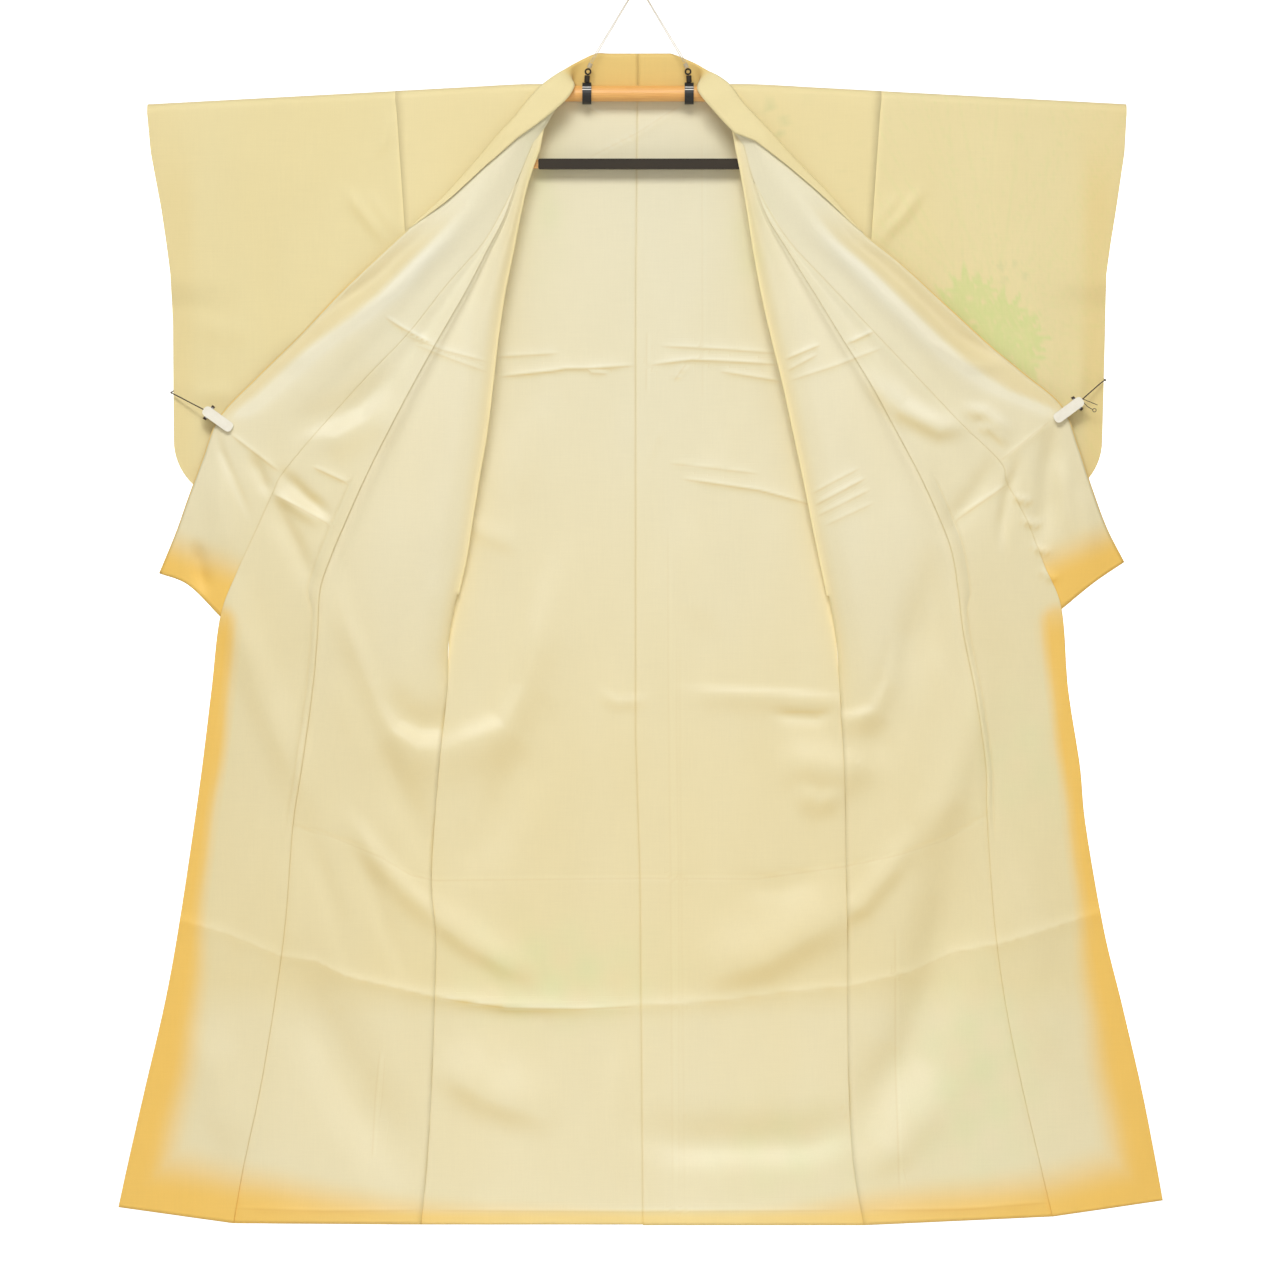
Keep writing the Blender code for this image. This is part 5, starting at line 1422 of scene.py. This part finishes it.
def black_plastic():
    g = Graph("black_satin_plastic", Roughness=0.55, Specular_IOR_Level=0.25)
    grain = g.noise(700.0, (1, 1, 1), 2.0)
    scuff = g.noise(60.0, (0.2, 1, 1), 4.0)
    colour = g.two_tone(scuff, (44, 38, 30), (62, 54, 43))
    return g.finish(colour, g.ramp(scuff, 0.3, 0.7, 0.48, 0.62), g.bump(grain, 0.12, 0.0001))


def strap_plastic():
    """Black moulded strap with two fine white lines round it."""
    g = Graph("black_strap_white_lines", Roughness=0.45)
    height = g.axis("Z")
    first, second = (g.math("LESS_THAN", g.math("ABSOLUTE", g.math("SUBTRACT", height, line)),
                            STRAP_LINE_HALF)
                     for line in (-(ROD_DROP + drop) * MM for drop in STRAP_LINES))
    grain = g.noise(650.0, (1, 1, 1), 2.0)
    colour = g.two_tone(grain, (22, 21, 20), (40, 38, 36))
    colour = g.mix(g.math("ADD", first, second), colour, linear((225, 222, 214)))
    return g.finish(colour, None, g.bump(grain, 0.15, 0.0001))


def cream_plastic():
    g = Graph("cream_moulded_plastic", Roughness=0.38, Coat_Weight=0.15)
    colour = g.two_tone(g.noise(120.0, (1, 1, 1), 3.0), (233, 227, 208), (246, 242, 228))
    return g.finish(colour, None, g.bump(g.noise(900.0), 0.1, 0.0001))


def dark_elastic():
    g = Graph("dark_braided_elastic", Roughness=0.75, Sheen_Weight=0.2)
    braid = g.wave(700.0, "DIAGONAL", Distortion=2.0)
    colour = g.two_tone(braid, (44, 34, 26), (88, 70, 52))
    return g.finish(colour, None, g.bump(braid, 0.6, 0.0003))


def clear_nylon():
    g = Graph("clear_nylon_line", Roughness=0.3, Transmission_Weight=0.25, IOR=1.5)
    tone = g.noise(300.0, (1, 1, 0.2), 2.0)
    colour = g.two_tone(tone, (196, 180, 146), (228, 216, 190))
    return g.finish(colour, None, g.bump(tone, 0.1, 0.0001))


def steel():
    g = Graph("brushed_steel", Roughness=0.26, Metallic=1.0)
    brushed = g.noise(500.0, (1, 1, 0.1), 3.0)
    colour = g.two_tone(brushed, (176, 176, 178), (214, 214, 216))
    return g.finish(colour, g.ramp(brushed, 0.0, 1.0, 0.18, 0.36), g.bump(brushed, 0.1, 0.0001))


# The camera and the cords come first
def make_camera():
    data = bpy.data.cameras.new("camera")
    data.lens = CAMERA_LENS
    data.sensor_width = 36.0
    data.clip_end = 50.0
    camera = link("camera", data)
    camera.location = CAMERA_PLACE
    camera.rotation_euler = (math.radians(90), 0, 0)
    bpy.context.scene.camera = camera


def wires(name, routes, diameter, finish, resolution):
    """Round wires along routes in metres, in one piece."""
    curve = bpy.data.curves.new(name, "CURVE")
    curve.dimensions = "3D"
    curve.bevel_depth = diameter / 2 * MM
    curve.bevel_resolution = resolution
    curve.use_fill_caps = True
    for route in routes:
        line = curve.splines.new("POLY")
        line.points.add(len(route) - 1)
        for point, spot in zip(line.points, route):
            point.co = (*spot, 1.0)
    curve.materials.append(finish)
    return new_piece(name, curve)


def cord(name, points, diameter, finish, node):
    """A round cord along points in hanger millimetres, in place of a CAD node, which it hides."""
    if len(points) > 2:
        points = spline(points, [6] * (len(points) - 1))
    route = world(points)
    obj = wires(name, [route], diameter, finish, 4)
    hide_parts(node)


def hanging_lines(finish):
    top = RING_BOTTOM_DROP + GAP + LINE_DIAMETER * 0.3
    eye = EYE_RADIUS + EYE_WIRE / 2
    crimp_start = STEM_TOP + GAP + eye + 0.1 + eye + GAP
    for side, sign in SIDES.items():
        x = sign * STRAP_OFFSET - sign * 2 * CRIMP_SHIFT
        for number, way in ((1, -1), (2, 1)):
            start = (x + way * 1.4, -crimp_start - CRIMP_LENGTH, -1.1)
            end = (sign * 1.2 + way * 0.6, top, way * sign * 0.7)
            cord("nylon_line_%s_%d" % (side, number), [start, end], LINE_DIAMETER, finish,
                 "hanging_line_%s_%d" % (side, number))


def clip_place(side):
    """The middle of a clip's pin, the way along the clip, and the way across it."""
    x, drop, slope = CLIPS[side]
    along = Vector((math.cos(math.radians(slope)), 0, math.sin(math.radians(slope))))
    middle = (CLIP_FRONT_DEPTH + CLIP_BACK_DEPTH) / 2
    pin = Vector((x, middle, -(ROD_DROP + drop))) + along * SIDES[side] * (CLIP_LENGTH * 0.32)
    return pin, along, Vector((-along.z, 0, along.x))


def elastics(finish):
    sag = float(rod_sag(ROD_ARM_END))
    for side, sign in SIDES.items():
        pin, along, _ = clip_place(side)
        start = pin + along * sign * ((CLIP_BACK_DEPTH - CLIP_FRONT_DEPTH) / 2 + 1.0)
        edge, level = ELASTIC_WRAP[side]
        rest = ((edge - 4.0, level + 3.5, -6.5),
                (edge + 2.2, level, -0.5),
                (edge - 3.0, level - 8.0, 7.5),
                (edge - 12.0, level - 60.0, 13.5),
                (edge - 12.0, 220.0, 17.0),
                (edge + 6.0, 110.0, 17.2),
                (edge + 19.0, 70.0, 17.2),
                (ROD_ARM_END + 8.0, 48.0, 14.0),
                (ROD_ARM_END + 7.0, sag + 12.0, 6.0),
                (ROD_ARM_END + 1.3, sag - 1.0, 2.0))
        route = [(start.x, -start.z - ROD_DROP, start.y)]
        route += [(sign * x, drop, depth) for x, drop, depth in rest]
        pieces = [cord_tails(finish)] if side == "left" else []
        cord("elastic_cord_" + side, route, ELASTIC_DIAMETER, finish,
             "elastic_" + side)


def clip_spring(side, finish):
    """The spring's coils on the clip's pin, which stand out at both edges of the jaws."""
    pin, along, across_clip = clip_place(side)
    routes = []
    for way in (-1, 1):
        start = CLIP_WIDTH / 2 - 2.0
        route = [pin + across_clip * way * start, pin + across_clip * way * (start + 1.5)]
        for step in range(int(SPRING_TURNS * SPRING_STEPS) + 1):
            turn = 2 * math.pi * step / SPRING_STEPS
            out = CLIP_WIDTH / 2 + SPRING_GAP + SPRING_PITCH * step / SPRING_STEPS
            offset = along * math.cos(turn) + Vector((0, 1, 0)) * math.sin(turn)
            route.append(pin + across_clip * way * out + offset * SPRING_RADIUS)
        routes.append(np.array(route) * MM)
    wires("clip_%s_spring" % side, routes, SPRING_WIRE, finish, 3)


def cord_tails(finish):
    """The knotted ends of the left elastic behind its clip, one of them with a small loop."""
    pin, along, across_clip = clip_place("left")
    root = pin + along
    reach = root + along * 9.0
    upper = [root, root + across_clip * 1.5 + along * 7,
             reach + Vector((8, 0.2, -3.5)), reach + Vector((19, 0.4, -8.0))]
    lower = [root, root - across_clip * 2.5 + along * 6,
             reach + Vector((5, 0.2, -9.5)), reach + Vector((12.5, 0.4, -14.0))]
    centre = lower[-1] + Vector((2.4, 0.2, -1.0))
    loop = [centre + Vector((math.cos(t), 0, math.sin(t))) * TAIL_LOOP_RADIUS
            for t in np.linspace(math.pi, 3 * math.pi, 20)]
    upper, lower = (spline(np.array(route), [6] * 3) for route in (upper, lower))
    routes = [upper * MM, np.concatenate([lower, np.array(loop)]) * MM]
    return wires("elastic_left_tails", routes, TAIL_DIAMETER, finish, 3)


def dress_hanger(materials):
    """Gives the CAD nodes that stay their materials and eased edges."""
    table = {"hanger_rod": "wood", "sash_bar": "black", "hanging_ring": "steel"}
    for side in SIDES:
        table.update({"hanger_arm_" + side: "wood", "sash_bar_arm_" + side: "wood",
                      "strap_" + side: "strap", "swivel_stem_" + side: "black",
                      "swivel_eye_" + side: "black", "line_crimp_" + side: "nylon",
                      "clip_%s_front_jaw" % side: "cream", "clip_%s_back_jaw" % side: "cream",
                      "clip_%s_pin" % side: "steel"})
        clip_spring(side, materials["elastic"])
    for name, finish in table.items():
        node = NODES[name]
        node.data.materials.clear()
        node.data.materials.append(materials[finish])
        if name.startswith(("sash_bar", "clip_", "strap_")) and not name.endswith("pin"):
            bevel = node.modifiers.new("eased_edges", "BEVEL")
            bevel.width = CLIP_BEVEL if name.startswith("clip_") else BAR_BEVEL
            bevel.segments = 3
            bevel.limit_method = "ANGLE"
            node.data.shade_smooth()


# The cloth, panel by panel
def panel_tints(grid, layer, seam, shade, painted_highlight, through=0.0):
    points = grid[..., :2]
    crease, crease_shading = pressed_line_shading(points, layer)
    return {"gold": body_gold(points), "seam": seam, "crease": crease, "crease_shading": crease_shading,
            "shade": shade, "painted_highlight": painted_highlight, "through": through}


def outer_cloth(side, part, grid, normals, keep, tints, materials):
    flat, holder, nodes, _ = PANELS[part]
    piece = shell("%s_%s_silk" % (side, part), grid, normals, keep, OUTER_SKINS,
                  materials["outer"], tints)
    hang(piece, side, nodes, flat, holder)


def lining_cloth(side, part, grid, normals, keep, tints, materials):
    flat, holder, _, nodes = PANELS[part]
    piece = shell("%s_%s_lining_silk" % (side, part), grid, normals, keep, LINING_SKINS,
                  materials["lining"], tints)
    hang(piece, side, nodes, flat, holder)


def hang(piece, side, nodes, flat, holder):
    """Hides the solids that a piece of cloth stands for."""
    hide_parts(*("%s_%s" % (side, node) for node in nodes))


def lined_pair(side, part, grid, normals, keep, tints, outer_changes, materials):
    """The outer cloth and the lining of one panel."""
    points = grid[..., :2]
    outer_tints = dict(tints, leaf=0.0, grey_leaf=0.0)
    outer_tints.update(outer_changes)
    outer_cloth(side, part, grid, normals, keep, outer_tints, materials)
    lining = inset(grid, keep, COLLAR_RIM) if part == "collar" else grid
    lining_tints = dict(tints, fall=lining_fall(points), haze=haze(points), band=hem_band(points))
    lining_cloth(side, part, lining, normals, keep, lining_tints, materials)


def facing_away(painted_highlight):
    """Changed painted shade and highlight where the outer cloth faces away, so that its folds are shaded
    the other way round, and no painted glow.
    """
    return {"shade": 0.6 * painted_highlight, "painted_highlight": 0.0, "through": 0.0}


def dress_front(side, surfaces, counts, materials):
    grid, keep, normals, start = front_panel(side, surfaces, counts)
    seam = seam_distance(grid, {-1: 1.2})
    along = along_rows(grid)
    away = np.minimum(np.abs(along - along[:, start:start + 1]), 3 * LINE_REACH)
    drop = grid[..., 1]
    upper = 1 - smooth(drop, 740, 860)
    # Painted shade in a strip beside the turned fold and over the upper front, a painted highlight beyond
    # the strip, and a painted glow for light through the edge
    shade, painted_highlight = slope_tints(grid, "front")
    shade = shade + 0.5 * (1 - smooth(away, 0, 20)) * upper
    shade = shade + 0.2 * (1 - smooth(drop, 430, 620))
    painted_highlight = painted_highlight + 0.45 * bell(away - 42, 14) * upper
    through = 0.3 * np.exp(-away / 2.5) * upper
    turn = slice(start - sum(TURN_STEPS) + 1, start)
    through[:, turn] = 0.6 * upper[:, turn]
    grid = rolled(shaped(grid, "front"), normals, -1, OKUMI_STEP, OKUMI_STEP_WIDTH)
    tints = panel_tints(grid, "front", seam, shade, painted_highlight, through)
    leaves = {"grey_leaf": leaf_mask(grid[..., :2], GREY_LEAVES)} if side == "left" else {}
    lined_pair(side, "front", grid, normals, keep, tints, leaves, materials)


def dress_okumi(side, surfaces, counts, materials):
    first = sum(counts[:OKUMI_TIP_ROW])
    grid, normals = (rows[first:] for rows in surfaces["okumi"])
    seam = seam_distance(grid, {0: 0.8, -1: 1.0})
    shade, painted_highlight = slope_tints(grid, "front")
    band = along_rows(grid)
    band = np.clip(band - band[:, 4:5], -LINE_REACH, LINE_REACH)
    pressed = 0.5 * band_pressed(grid[..., 1])
    grid = rolled(press_band(shaped(grid, "front")), normals, -1)
    tints = panel_tints(grid, "front", seam, shade, painted_highlight)
    # Along the strip's edge, painted shade and highlight lines wherever it is nearer than a crease
    closer = (np.abs(band) < np.abs(tints["crease"])) & (pressed > 0.05)
    tints["crease"] = np.where(closer, band, tints["crease"])
    tints["crease_shading"] = np.where(closer, pressed, tints["crease_shading"])
    lined_pair(side, "okumi", grid, normals, all_cells(grid), tints, facing_away(painted_highlight), materials)


def dress_collar(side, surfaces, counts, materials):
    grid, keep, normals, columns = collar_sheet(side, surfaces, counts)
    seam = seam_distance(grid, {0: 0.6})
    shade, painted_highlight = slope_tints(grid, "front")
    face = grid[:, :columns]
    place = across_share(face)
    drop = face[..., 1]
    away = place - ridge_place(side, drop)
    # Painted tan shade from the ridge to the free edge, and a painted highlight on the ridge, down to the
    # clip
    painted_tan_shade = smooth(away, 0.04, 0.16) * (1 - 0.4 * smooth(place, 0.92, 1.0))
    ridge = bell(away, np.where(away > 0, 0.07, 0.14))
    ends = 1 - smooth(drop, 425, 445)
    shade[:, :columns] += 0.62 * painted_tan_shade * smooth(drop, 130, 230) * ends
    painted_highlight[:, :columns] += 1.5 * ridge * smooth(drop, 150, 260) * ends
    grid = rolled(shaped(grid, "front"), normals, 0)
    # Behind the neck the collar gets painted shade, warmed with some gold, and where it opens its rim is
    # gold
    inside = smooth(grid[..., 2], -8, 6)
    tints = panel_tints(grid, "front", seam, np.maximum(shade, inside), painted_highlight)
    points = grid[..., :2]
    tints["gold"] = np.maximum(collar_gold(side, points), 0.24 * inside)
    rim = np.maximum(tints["gold"], 0.5 * smooth(points[..., 1], 190, 300))
    lined_pair(side, "collar", grid, normals, keep, tints, {"gold": rim}, materials)


def dress_back(side, materials):
    grid, keep, normals = back_sheet(side)
    seam = seam_distance(grid, {0: 0.0, -1: 1.0})
    # Painted shade and painted glow beside the front's turned fold, and painted shade and highlight on
    # the folds
    shade, through = lapel_shade(side, grid)
    painted_fold_shade, painted_highlight = slope_tints(grid, "back")
    grid = rolled(shaped(grid, "back"), normals, -1)
    grid = rolled(grid, normals, 0, CENTRE_SEAM_ROLL)
    tints = panel_tints(grid, "back", seam, shade + painted_fold_shade, painted_highlight, through)
    lined_pair(side, "back", grid, normals, keep, tints, facing_away(painted_highlight), materials)


def dress_sleeve(side, materials):
    grid, keep, normals = sleeve_sheet(side)
    front_part = grid[..., 2] < 0
    shade, painted_highlight = slope_tints(grid, "sleeve")
    grid = grid.copy()
    grid[..., 2] -= relief(grid[..., :2], "sleeve") * smooth(np.abs(grid[..., 2]), 0.9, 3.0)
    points = grid[..., :2]
    away = np.abs(points[..., 0])
    # Painted shade in a band near each cuff
    cuff = smooth(away, 585, 610) * (1 - 0.5 * smooth(away, 612, 650))
    shade = shade + CUFF_SHADE[side] * cuff * smooth(points[..., 1], 40, 160)
    # Painted glow along the armhole seam, for light through the cloth
    through = 0.24 * np.exp(-seam_distance(grid, {0: 0.0}) / 2.5)
    tints = panel_tints(grid, "sleeve", seam_distance(grid, {0: 1.6}), shade, painted_highlight, through)
    tints.update(gold=CUFF_WARMTH[side] * smooth(away, 540, 660), leaf=0.0, grey_leaf=0.0)
    if side == "left":
        tints["leaf"] = leaf_mask(points, LEAVES) * front_part * 0.8
        tints["grey_leaf"] = leaf_mask(points, GREY_LEAVES) * front_part * 0.7
    outer_cloth(side, "sleeve", grid, normals, keep, tints, materials)


def dress_side(side, materials):
    surfaces, counts = front_surfaces(side)
    dress_front(side, surfaces, counts, materials)
    dress_okumi(side, surfaces, counts, materials)
    dress_collar(side, surfaces, counts, materials)
    dress_back(side, materials)
    dress_sleeve(side, materials)


# The studio
def backdrop():
    """Pale floor that curves up into a backdrop."""
    profile = [(-12.0, FLOOR)]
    for step in range(13):
        turn = math.radians(90 * step / 12)
        profile.append((BACKDROP_DEPTH - BACKDROP_BEND * (1 - math.sin(turn)),
                        FLOOR + BACKDROP_BEND * (1 - math.cos(turn))))
    profile.append((BACKDROP_DEPTH, 5.0))
    points = [(x, y, z) for x in (-8.0, 8.0) for y, z in profile]
    count = len(profile)
    faces = [(i, i + 1, i + 1 + count, i + count) for i in range(count - 1)]
    mesh = bpy.data.meshes.new("backdrop")
    mesh.from_pydata(points, [], faces)
    mesh.shade_smooth()
    g = Graph("pale_studio_paper", Roughness=0.9, Emission_Strength=BACKDROP_GLOW)
    glow = g.grey(g.ramp(g.axis("Y"), 0.3, 0.9))
    g.tree.links.new(glow, g.shader.inputs["Emission Color"])
    tone = g.noise(3.0, (1, 1, 1), 2.0)
    mesh.materials.append(g.finish(g.mix(tone, (0.80, 0.80, 0.80, 1), (0.84, 0.84, 0.84, 1))))
    link("backdrop", mesh)


def studio():
    """Soft light from above and in front."""
    backdrop()
    sky = bpy.data.worlds.new("studio")
    bpy.context.scene.world = sky
    sky.use_nodes = True
    sky.node_tree.nodes["Background"].inputs["Color"].default_value = SKY_COLOUR
    sky.node_tree.nodes["Background"].inputs["Strength"].default_value = SKY_STRENGTH
    for name, kind, place, aim, watts, size, colour in LIGHTS:
        data = bpy.data.lights.new(name, kind)
        data.energy = watts
        data.color = colour
        if kind == "AREA":
            data.shape = "RECTANGLE"
            data.size, data.size_y = size
        else:
            data.shadow_soft_size = size[0]
            data.spot_size = math.radians(size[1])
            data.spot_blend = 1.0
        obj = link(name, data)
        obj.location = place
        obj.rotation_euler = (Vector(aim) - Vector(place)).to_track_quat("-Z", "Y").to_euler()
    bpy.context.scene.view_settings.view_transform = "Standard"
    bpy.context.scene.view_settings.look = "None"
    bpy.context.scene.view_settings.exposure = 0.0


def main():
    make_camera()
    materials = {"outer": outer_silk(), "lining": lining_silk(), "wood": wood(),
                 "black": black_plastic(), "strap": strap_plastic(), "cream": cream_plastic(),
                 "elastic": dark_elastic(), "nylon": clear_nylon(), "steel": steel()}
    hanging_lines(materials["nylon"])
    elastics(materials["elastic"])
    dress_hanger(materials)
    for side in SIDES:
        dress_side(side, materials)
    studio()


main()
